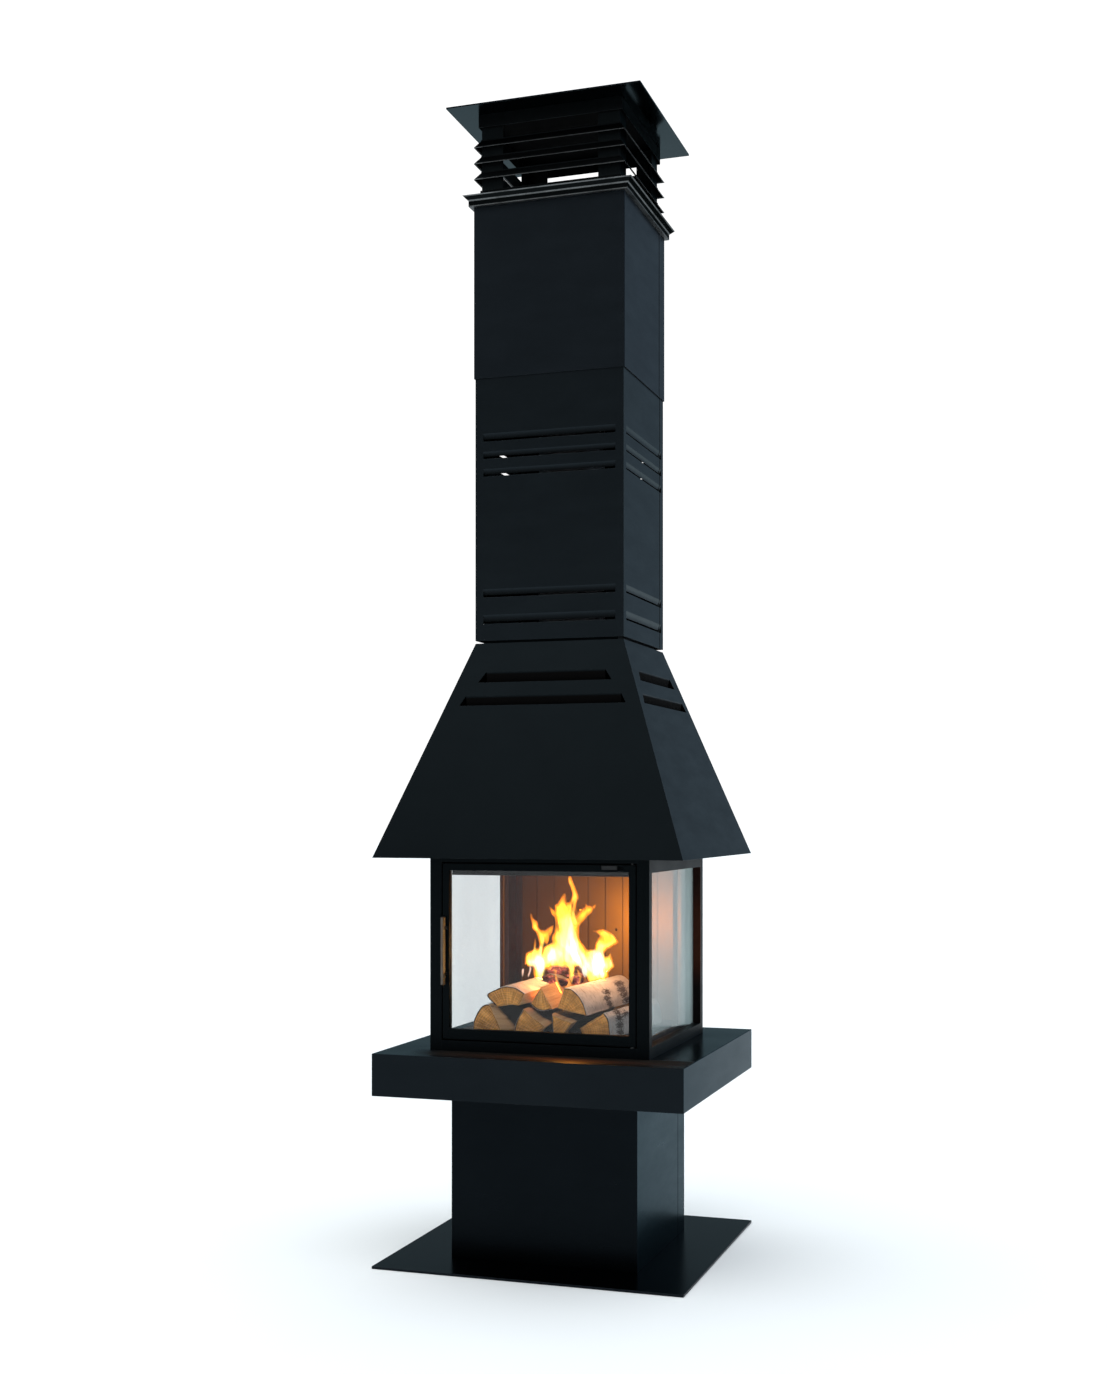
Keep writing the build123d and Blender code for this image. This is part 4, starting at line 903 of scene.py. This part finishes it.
# ----------------------------------------------------------------------------
# Burning log, embers and flames
# ----------------------------------------------------------------------------
def charcoal():
    """Cracked char: purple-brown crust, dull red where it still burns."""
    m, g = material("charred_glowing")
    co = g.coords()
    warp = g.noise(co, 60, 4, 0.6, out="Color")
    wv = g.new("ShaderNodeVectorMath", operation="MULTIPLY_ADD")
    g.put(wv.inputs[0], warp)
    wv.inputs[1].default_value = (0.014, 0.014, 0.014)
    g.put(wv.inputs[2], co)
    cell = g.voronoi(wv.outputs[0], 62, "DISTANCE_TO_EDGE")
    heat = g.remap(g.noise(co, 19, 4, 0.65), 0.40, 0.62, 0.0, 1.0, True)
    ash = g.remap(g.noise(co, 150, 5, 0.7), 0.50, 0.72)
    gap = g.math("MULTIPLY", g.remap(cell, 0.10, 0.0), g.remap(g.noise(co, 47, 3, 0.6), 0.42, 0.62))
    col = g.mix(ash, (0.050, 0.022, 0.026), (0.26, 0.15, 0.15))
    glow = g.math("ADD", g.math("MULTIPLY", heat, 0.34), g.math("MULTIPLY", g.math("MULTIPLY", gap, heat), 0.55))
    p = g.principled(Base_Color=col, Roughness=0.9, Specular_IOR_Level=0.2,
                     Emission_Color=g.ramp(glow, ((0.0, (0.10, 0.010, 0.012)), (0.35, (0.62, 0.095, 0.075)), (1.0, (1.0, 0.34, 0.16)))),
                     Emission_Strength=g.math("MULTIPLY", glow, 2.0), Normal=g.bump(g.math("SUBTRACT", ash, gap), 0.9, 0.002))
    g.surface(p.outputs[0])
    return m


CHAR = charcoal()


def lump(center, radii, seed, rough=0.16, subdiv=4, squareness=0.0):
    """A charred piece: an uneven, split ellipsoid."""
    bm = bmesh.new()
    bmesh.ops.create_icosphere(bm, subdivisions=subdiv, radius=1.0)
    off = Vector((seed * 3.1, seed * 1.7, seed * 5.3))
    for v in bm.verts:
        p = v.co.copy()
        q = Vector([math.copysign(abs(c) ** (1.0 - squareness), c) for c in p])
        d = noise.noise(q * 1.3 + off) * rough + noise.noise(q * 4.2 + off) * rough * 0.45
        d -= max(0.0, 0.22 - abs(noise.noise(q * 2.6 - off))) * 0.5
        q = q * (1.0 + d)
        v.co = Vector((q.x * radii[0], q.y * radii[1], q.z * radii[2]))
    for f in bm.faces:
        f.smooth = True
    me = bpy.data.meshes.new("lump")
    bm.to_mesh(me)
    bm.free()
    me.materials.append(CHAR)
    ob = bpy.data.objects.new("lump", me)
    scene.collection.objects.link(ob)
    return ob, Vector(center)


def put_at(pair, rot=(0, 0, 0)):
    from mathutils import Euler
    ob, c = pair
    r = Euler([math.radians(a) for a in rot]).to_matrix().to_4x4()
    ob.data.transform(r)
    ob.data.transform(bpy_matrix(c))
    return ob


def bpy_matrix(c):
    from mathutils import Matrix
    return Matrix.Translation(c * MM)


coals = [put_at(lump((-14, 78, 749), (0.078, 0.0155, 0.0150), 3, 0.10, 5, 0.25), (0, -4, 6))]
charred = join(coals, "charred_log")
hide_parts("log_charred")
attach(charred, "stove_body")
BITS = (((-20, -60, 724), (26, 15, 12), 5, (8, 6, 20)), ((24, -30, 728), (22, 15, 12), 8, (0, -8, 70)), ((-66, 10, 727), (20, 14, 10), 12, (5, 8, 35)),
        ((12, 20, 730), (24, 16, 12), 15, (0, 3, 110)), ((-24, 110, 733), (30, 15, 12), 19, (4, 0, 5)), ((58, 60, 736), (18, 13, 10), 23, (0, 12, 60)),
        ((-44, -20, 719), (16, 12, 9), 29, (10, 0, 80)))
bits = [put_at(lump(c, tuple(r * MM for r in rad), sd, 0.2, 3, 0.3), rot) for c, rad, sd, rot in BITS]
embers = join(bits, "embers")
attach(embers, "stove_body")

# Outlines of the flames in mm: depth Y, then (X, Z) points
SHAPES = {
    "s_tip": (9, ((-13, 1013), (-3, 1013), (3, 994), (14, 971), (20, 952), (14, 933), (11, 909), (20, 875), (-13, 874), (-9, 909), (-3, 934), (-2, 950), (-9, 976), (-16, 994))),
    "s_neck": (9, ((-10, 1009), (-5, 1009), (0, 991), (10, 968), (15, 952), (9, 934), (7, 909), (14, 875), (-8, 875), (-5, 909), (0, 934), (2, 950), (-5, 976), (-12, 993))),
    "b_left": (12, ((-142, 770), (-135, 795), (-122, 804), (-114, 822), (-107, 802), (-93, 801), (-84, 815), (-69, 823), (-50, 832), (-20, 829), (-10, 785), (-19, 757), (-45, 756), (-68, 757), (-78, 749), (-85, 723), (-98, 715), (-109, 728), (-116, 752), (-132, 755))),
    "b_right": (12, ((-23, 829), (13, 840), (32, 812), (55, 810), (77, 811), (94, 792), (106, 802), (114, 781), (119, 764), (110, 753), (99, 740), (82, 726), (60, 717), (43, 718), (29, 748), (9, 758), (4, 723), (-4, 711), (-11, 751), (-23, 760))),
    "k_main": (6, ((-18, 847), (-7, 901), (5, 875), (15, 844), (25, 810), (41, 776), (46, 739), (32, 730), (16, 756), (1, 764), (-20, 771), (-28, 792), (-22, 819))),
    "k_left": (14, ((-137, 774), (-121, 785), (-108, 793), (-95, 798), (-83, 783), (-77, 761), (-86, 734), (-99, 726), (-109, 746), (-128, 759))),
    "k_left2": (14, ((-73, 790), (-64, 812), (-51, 807), (-47, 780), (-54, 760), (-68, 761))),
    "k_right": (14, ((41, 800), (63, 813), (84, 809), (95, 783), (101, 760), (88, 738), (70, 729), (53, 736), (44, 768))),
    "k_small": (18, ((103, 786), (108, 789), (114, 770), (108, 756), (100, 763))),
    "l_f": (-60, ((8, 764), (18, 770), (28, 765), (25, 737), (18, 717), (13, 733))),
    "g_base": (0, ((-112, 774), (-84, 782), (-48, 780), (-14, 797), (19, 782), (52, 778), (100, 780), (116, 773), (112, 742), (88, 723), (52, 720), (24, 737), (5, 752), (-10, 736), (-38, 732), (-67, 734), (-91, 717), (-106, 721))),
    "l_d": (-40, ((-37, 784), (-26, 786), (-7, 794), (5, 787), (3, 773), (-7, 769), (-16, 759), (-26, 755), (-35, 761))),
    "l_e": (-35, ((44, 772), (56, 768), (58, 747), (56, 720), (48, 716), (50, 734), (46, 749))),
    "o_main": (10, ((-12, 1010), (-3, 1010), (2, 989), (11, 971), (15, 957), (10, 942), (3, 927), (3, 911), (10, 893), (18, 875), (19, 852), (21, 834), (33, 818), (49, 803), (64, 792), (76, 778), (83, 760), (76, 744), (64, 728), (49, 722), (40, 736), (26, 752), (11, 765), (-3, 769), (-18, 785), (-32, 780), (-42, 766), (-51, 761), (-60, 768), (-61, 797), (-61, 818), (-63, 837), (-58, 855), (-55, 873), (-58, 892), (-66, 905), (-72, 925), (-65, 926), (-56, 919), (-54, 929), (-42, 940), (-33, 954), (-26, 964), (-19, 960), (-16, 948), (-13, 939), (-6, 950), (-4, 966), (-8, 989))),
    "o_wing": (40, ((-8, 906), (7, 913), (21, 923), (27, 934), (42, 928), (56, 933), (58, 922), (46, 906), (36, 898), (24, 880), (14, 864), (10, 855), (-8, 863))),
    "o_left": (30, ((-132, 905), (-124, 903), (-119, 892), (-109, 886), (-103, 878), (-101, 866), (-90, 860), (-77, 868), (-63, 874), (-63, 854), (-70, 835), (-77, 816), (-89, 818), (-90, 795), (-91, 785), (-84, 795), (-73, 815), (-65, 820), (-57, 805), (-57, 766), (-67, 747), (-82, 744), (-90, 737), (-94, 714), (-101, 702), (-114, 714), (-122, 736), (-123, 760), (-136, 760), (-146, 756), (-147, 771), (-145, 791), (-131, 801), (-114, 809), (-107, 817), (-109, 834), (-116, 850), (-125, 860), (-133, 864), (-127, 867), (-128, 878), (-132, 894))),
    "o_leftsmall": (20, ((-115, 836), (-110, 832), (-107, 816), (-113, 806), (-119, 816))),
    "o_curl": (35, ((49, 808), (55, 826), (61, 838), (67, 845), (57, 852), (48, 856), (51, 860), (66, 863), (80, 866), (94, 862), (109, 851), (120, 839), (125, 827), (113, 818), (97, 808), (88, 799), (86, 781), (88, 764), (92, 777), (96, 794), (101, 797), (109, 782), (115, 759), (104, 756), (102, 743), (97, 728), (80, 719), (61, 719), (51, 741), (42, 775), (39, 798))),
    "y_main": (8, ((-8, 1005), (-4, 1003), (-0, 982), (7, 969), (11, 957), (6, 946), (-0, 930), (-0, 911), (6, 884), (13, 861), (19, 834), (33, 812), (50, 791), (64, 778), (74, 758), (64, 735), (50, 732), (38, 745), (24, 763), (9, 777), (-7, 785), (-22, 789), (-36, 782), (-46, 773), (-48, 796), (-46, 821), (-49, 844), (-46, 867), (-41, 888), (-31, 902), (-17, 908), (-12, 920), (-8, 939), (-1, 955), (-0, 971), (-6, 989))),
    "y_left": (28, ((-128, 891), (-119, 878), (-108, 867), (-96, 851), (-89, 835), (-90, 818), (-93, 798), (-90, 779), (-80, 789), (-72, 810), (-64, 816), (-58, 803), (-59, 768), (-69, 756), (-84, 751), (-96, 744), (-100, 728), (-96, 714), (-103, 709), (-113, 725), (-117, 748), (-118, 771), (-130, 771), (-143, 766), (-144, 782), (-128, 797), (-111, 804), (-104, 816), (-106, 834), (-112, 850), (-122, 864), (-126, 876))),
    "y_curl": (34, ((54, 806), (59, 825), (68, 836), (76, 830), (88, 829), (98, 833), (99, 839), (89, 843), (76, 842), (67, 845), (69, 854), (80, 862), (97, 857), (111, 846), (118, 832), (109, 820), (95, 811), (85, 802), (84, 777), (88, 756), (99, 791), (104, 786), (111, 766), (102, 761), (97, 736), (80, 724), (64, 726), (54, 746), (47, 776), (43, 794))),
    "w_main": (6, ((-1, 879), (3, 859), (9, 841), (18, 823), (27, 807), (42, 789), (52, 771), (59, 746), (48, 743), (36, 759), (22, 777), (8, 793), (-7, 801), (-16, 794), (-22, 801), (-17, 822), (-11, 843), (-6, 861))),
    "w_left1": (24, ((-67, 816), (-60, 808), (-58, 790), (-63, 770), (-75, 763), (-84, 767), (-86, 782), (-78, 798))),
    "w_left2": (26, ((-102, 818), (-95, 812), (-92, 793), (-88, 777), (-90, 762), (-100, 750), (-108, 763), (-110, 781), (-108, 802))),
    "w_right": (30, ((70, 826), (82, 823), (84, 802), (82, 779), (89, 754), (96, 752), (92, 735), (77, 725), (63, 728), (51, 744), (43, 767), (34, 787), (43, 794), (55, 792), (63, 806))),
    "w_small": (18, ((105, 789), (110, 779), (114, 765), (104, 762), (99, 771))),
    "l_a": (-92, ((-25, 763), (-13, 760), (-12, 746), (-4, 721), (2, 701), (-1, 692), (-7, 699), (-16, 721), (-21, 743))),
    "l_b": (-60, ((9, 775), (22, 773), (20, 749), (16, 717), (12, 716), (9, 741))),
    "l_c": (-60, ((32, 762), (45, 753), (48, 738), (42, 721), (34, 719), (38, 736), (34, 747))),
    "v_a": (-45, ((-130, 754), (-122, 756), (-124, 736), (-128, 732), (-131, 738))),
    "v_b": (-45, ((-107, 767), (-100, 758), (-103, 744), (-110, 731), (-113, 739), (-109, 751))),
    "v_c": (-45, ((-140, 742), (-138, 751), (-134, 756), (-129, 758), (-133, 754), (-136, 749), (-138, 741))),
}


def survey(xs, zs, poly):
    """For many points at once: which lie inside the outline, and how far from it."""
    P = np.array(poly)
    A, B = P, np.roll(P, -1, axis=0)
    hit = np.zeros(xs.shape, bool)
    best = np.full(xs.shape, 1e9)
    for (x0, z0), (x1, z1) in zip(A, B):
        cross = (z0 > zs) != (z1 > zs)
        if z1 != z0:
            hit ^= cross & (xs < (x1 - x0) * (zs - z0) / (z1 - z0) + x0)
        dx, dz = x1 - x0, z1 - z0
        t = np.clip(((xs - x0) * dx + (zs - z0) * dz) / max(1e-9, dx * dx + dz * dz), 0.0, 1.0)
        best = np.minimum(best, np.hypot(xs - x0 - dx * t, zs - z0 - dz * t))
    return hit, best


def curved(points, step=2.0):
    """Soft run through the outline's points."""
    P = [Vector(p) for p in points]
    n = len(P)
    out = []
    for i in range(n):
        a, b, p0, p3 = P[i], P[(i + 1) % n], P[i - 1], P[(i + 2) % n]
        k = max(1, round((b - a).length / step))
        for j in range(k):
            t = j / k
            q = 0.5 * (2 * a + (b - p0) * t + (2 * p0 - 5 * a + 4 * b - p3) * t * t + (3 * a - p0 - 3 * b + p3) * t ** 3)
            out.append((q.x, q.y))
    return out


def fire(name, density, ratio, skin=0.02):
    """Glowing gas: light added along the way through it."""
    m, g = material(name)
    em = g.new("ShaderNodeEmission")
    em.inputs["Color"].default_value = (*ratio, 1.0)
    em.inputs["Strength"].default_value = density
    soft = g.principled(Base_Color=(0.0, 0.0, 0.0), Roughness=1.0, Specular_IOR_Level=0.0, Alpha=skin,
                        Emission_Color=(ratio[0], ratio[1] * 0.85, ratio[2] * 0.7), Emission_Strength=1.0)
    o = g.surface(soft.outputs[0])
    g.t.links.new(em.outputs[0], o.inputs["Volume"])
    return m


def flame(label, names, mat, seed, plump=1.0, slack=5.0, cell=1.6, ragged=2.4, lean=14.0, streaks=0.6):
    """Flame body: a closed pillow inside its outlines, thin at the rim and thick
    in the middle, with upright streaks."""
    marks = [(depth, curved(pts)) for depth, pts in (SHAPES[n] for n in names)]
    qx = [q[0] for _, poly in marks for q in poly]
    qz = [q[1] for _, poly in marks for q in poly]
    xs, zs = np.arange(min(qx) - 4, max(qx) + 4, cell), np.arange(min(qz) - 4, max(qz) + 4, cell)
    X, Z = np.meshgrid(xs, zs, indexing="ij")
    R = np.full(X.shape, -1e9)
    W, D = np.full(X.shape, 1e-6), np.zeros(X.shape)
    for depth, poly in marks:
        hit, far = survey(X, Z, poly)
        far = np.where(hit, far, -far)
        w = np.exp(np.clip(far, -30.0, 12.0) * 0.35)
        R = np.maximum(R, far)
        W, D = W + w, D + w * depth
    D = D / W
    near = R > -4.0
    n1, n2, n3 = np.zeros(X.shape), np.zeros(X.shape), np.zeros(X.shape)
    for i, j in zip(*np.nonzero(near)):
        x, z = X[i, j], Z[i, j]
        n1[i, j] = noise.noise(Vector((x * 0.17, z * 0.045, seed)))
        n2[i, j] = noise.noise(Vector((x * 0.11 + z * 0.02, z * 0.026, seed * 2.0)))
        n3[i, j] = noise.noise(Vector((x * 0.018, z * 0.013, seed * 3.1)))
    R = R + ragged * n1 * np.clip(R / 3.0 + 0.4, 0.2, 1.0)
    body = R > 0.25
    H = np.clip(R, 0.0, None) ** 2 / (np.clip(R, 0.0, None) + slack) * plump * np.clip(1.0 + streaks * n2 * 1.6, 0.25, 2.2)
    D = D + lean * n3
    quad = body[:-1, :-1] & body[1:, :-1] & body[1:, 1:] & body[:-1, 1:]
    # a corner lies on the rim unless all four cells round it are filled
    full = np.zeros(X.shape, bool)
    full[1:-1, 1:-1] = quad[:-1, :-1] & quad[1:, :-1] & quad[1:, 1:] & quad[:-1, 1:]
    keep = quad & (full[:-1, :-1] | full[1:, :-1] | full[1:, 1:] | full[:-1, 1:])
    used = np.zeros(X.shape, bool)
    for di in (0, 1):
        for dj in (0, 1):
            used[di:used.shape[0] - 1 + di, dj:used.shape[1] - 1 + dj] |= keep
    front, back = np.full(X.shape, -1), np.full(X.shape, -1)
    verts = []
    for i, j in zip(*np.nonzero(used)):
        h = H[i, j] if full[i, j] else 0.0
        front[i, j] = back[i, j] = len(verts)
        verts.append((X[i, j] * MM, (D[i, j] - h) * MM, Z[i, j] * MM))
        if full[i, j]:
            back[i, j] = len(verts)
            verts.append((X[i, j] * MM, (D[i, j] + h) * MM, Z[i, j] * MM))
    faces = []
    for i, j in zip(*np.nonzero(keep)):
        faces.append([int(front[q]) for q in ((i, j), (i + 1, j), (i + 1, j + 1), (i, j + 1))])
        faces.append([int(back[q]) for q in ((i, j + 1), (i + 1, j + 1), (i + 1, j), (i, j))])
    me = bpy.data.meshes.new(label)
    me.from_pydata(verts, [], faces)
    for f in me.polygons:
        f.use_smooth = True
    me.materials.append(mat)
    ob = bpy.data.objects.new(label, me)
    scene.collection.objects.link(ob)
    ob.visible_shadow = False
    ob.visible_diffuse = False
    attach(ob, "stove_body")
    return ob


fire_1 = fire("fire_outer", 150.0, (1.0, 0.27, 0.012), 0.0)
fire_2 = fire("fire_mid", 46.0, (1.0, 0.88, 0.15), 0.0)
fire_3 = fire("fire_core", 46.0, (1.0, 1.0, 0.80), 0.0)
fire_4 = fire("fire_lick", 170.0, (1.0, 0.42, 0.06), 0.0)
fire_w = fire("fire_wisp", 160.0, (1.0, 0.62, 0.46), 0.0)
flame("flames_outer", ("s_tip", "o_main", "o_wing", "o_left", "o_leftsmall", "o_curl", "b_left", "b_right"), fire_1, 1.0, streaks=0.75)
flame("flames_mid", ("s_neck", "y_main", "y_left", "y_curl", "b_left", "b_right"), fire_2, 7.0, 1.15, 3.5, streaks=0.9)
flame("flames_core", ("w_main", "w_left1", "w_left2", "w_right", "w_small", "k_main", "k_left", "k_left2", "k_right", "k_small"),
      fire_3, 9.0, 1.0, 5.0, 1.4, 3.4, 8.0, 1.2)
flame("flame_licks", ("l_a", "l_b", "l_c", "l_f"), fire_4, 6.0, 1.0, 3.0, 1.0, 1.0, 4.0)
flame("flame_wisps", ("v_a", "v_b", "v_c"), fire_w, 8.0, 1.2, 2.0, 0.7, 0.6, 2.0)


# ----------------------------------------------------------------------------
# Floor, studio light, camera
# ----------------------------------------------------------------------------
def floor():
    bm = bmesh.new()
    bmesh.ops.create_grid(bm, x_segments=2, y_segments=2, size=60)
    me = bpy.data.meshes.new("studio_floor")
    bm.to_mesh(me)
    bm.free()
    ob = bpy.data.objects.new("studio_floor", me)
    scene.collection.objects.link(ob)
    ob.location = (0, 0, -0.0005)
    m, g = material("floor_pale")
    n = g.noise(g.coords(), 2.0, 3, 0.5)
    col = g.mix(n, (0.80, 0.805, 0.81), (0.82, 0.823, 0.825))
    p = g.principled(Base_Color=col, Roughness=0.9, Specular_IOR_Level=0.0)
    g.surface(p.outputs[0])
    me.materials.append(m)
    return ob


floor()


def studio():
    w = bpy.data.worlds.new("studio")
    scene.world = w
    w.use_nodes = True
    w.node_tree.nodes.clear()
    g = Graph(w.node_tree)
    d = g.coords("Generated")
    x, y, z = g.xyz(d)
    side = g.remap(x, -0.30, 0.55, 0.0, 1.0, True)
    front = g.remap(y, 0.1, -0.8, 0.0, 1.0, True)
    level = g.mixf(side, 0.25, 0.62)
    level = g.mixf(front, level, 0.30)
    level = g.mixf(g.remap(z, 0.45, 0.95, 0.0, 1.0, True), level, 0.55)
    tone = g.mix(front, g.mix(side, (0.62, 0.91, 1.02), (0.78, 0.99, 1.18)), (0.93, 0.985, 1.0))
    col = g.mix(1.0, tone, g.combine(level, level, level), "MULTIPLY")
    bg = g.new("ShaderNodeBackground")
    g.put(bg.inputs["Color"], col)
    white = g.new("ShaderNodeBackground")
    white.inputs["Color"].default_value = (1, 1, 1, 1)
    white.inputs["Strength"].default_value = 1.12
    lp = g.new("ShaderNodeLightPath")
    mx = g.new("ShaderNodeMixShader")
    g.put(mx.inputs[0], lp.outputs["Is Camera Ray"])
    g.t.links.new(bg.outputs[0], mx.inputs[1])
    g.t.links.new(white.outputs[0], mx.inputs[2])
    o = g.new("ShaderNodeOutputWorld")
    g.t.links.new(mx.outputs[0], o.inputs["Surface"])


studio()


def lamp(kind, name, place, energy, colour, size=0.1, **props):
    d = bpy.data.lights.new(name, kind)
    d.energy = energy
    d.color = colour
    if kind == "SUN":
        d.angle = size
    elif kind == "AREA":
        d.size = size
    else:
        d.shadow_soft_size = size
    o = bpy.data.objects.new(name, d)
    scene.collection.objects.link(o)
    o.location = place
    for k, v in props.items():
        setattr(o, k, v)
    return o


top = lamp("SUN", "overhead_soft", (0, 0, 6), 3.3, (1.0, 1.0, 1.0), math.radians(105))
top.rotation_euler = (math.radians(-5), math.radians(-12), 0)

cam_data = bpy.data.cameras.new("camera")
cam = bpy.data.objects.new("camera", cam_data)
scene.collection.objects.link(cam)
scene.camera = cam
cam.location = (1.4270, -4.5742, 1.1830)
cam.rotation_euler = (math.pi / 2, 0, 0.3320)
cam_data.sensor_width = 36.0
cam_data.sensor_fit = "AUTO"
cam_data.lens = 45.7716
cam_data.shift_x = 0.02438
cam_data.shift_y = 0.09151
cam_data.clip_start, cam_data.clip_end = 0.05, 200
cam_data.dof.use_dof = False

scene.view_settings.view_transform = "Standard"
scene.view_settings.look = "None"
scene.view_settings.exposure = 0
scene.view_settings.gamma = 1
scene.cycles.transparent_max_bounces = 64

# fire light
PANES = [NODES["side_glass_right"], NODES["side_glass_left"]]


def shines_on(light, objs, state):
    """Lets a lamp light only these objects, or all but these."""
    c = bpy.data.collections.new(light.name + "_set")
    for o in objs:
        c.objects.link(o)
    for link in c.collection_objects:
        link.light_linking.link_state = state
    light.light_linking.receiver_collection = c


fire_right = lamp("POINT", "fire_right", (0.172, 0.120, 0.875), 14.3, (1.0, 0.80, 0.060), 0.05, visible_camera=False)
shines_on(fire_right, [NODES["lining_back_board"], NODES["lining_corners"]], "INCLUDE")
fire_low = lamp("POINT", "fire_low", (-0.02, 0.0, 0.80), 1.3, (1.0, 0.50, 0.16), 0.06, visible_camera=False)
shines_on(fire_low, PANES, "EXCLUDE")
fire_top = lamp("POINT", "fire_top", (0.11, -0.04, 0.90), 3.2, (1.0, 0.56, 0.28), 0.06, visible_camera=False)
shines_on(fire_top, [upper_logs, lower_logs], "INCLUDE")
ember_glow = lamp("POINT", "ember_glow", (-0.046, -0.13, 0.728), 0.22, (1.0, 0.17, 0.04), 0.012, visible_camera=False)
shines_on(ember_glow, [upper_logs, lower_logs], "INCLUDE")
fire_spill = lamp("POINT", "fire_spill", (0.07, -0.245, 0.672), 6.4, (1.0, 0.25, 0.03), 0.03, visible_camera=False)
shines_on(fire_spill, [NODES["hearth_table_shell"]], "INCLUDE")
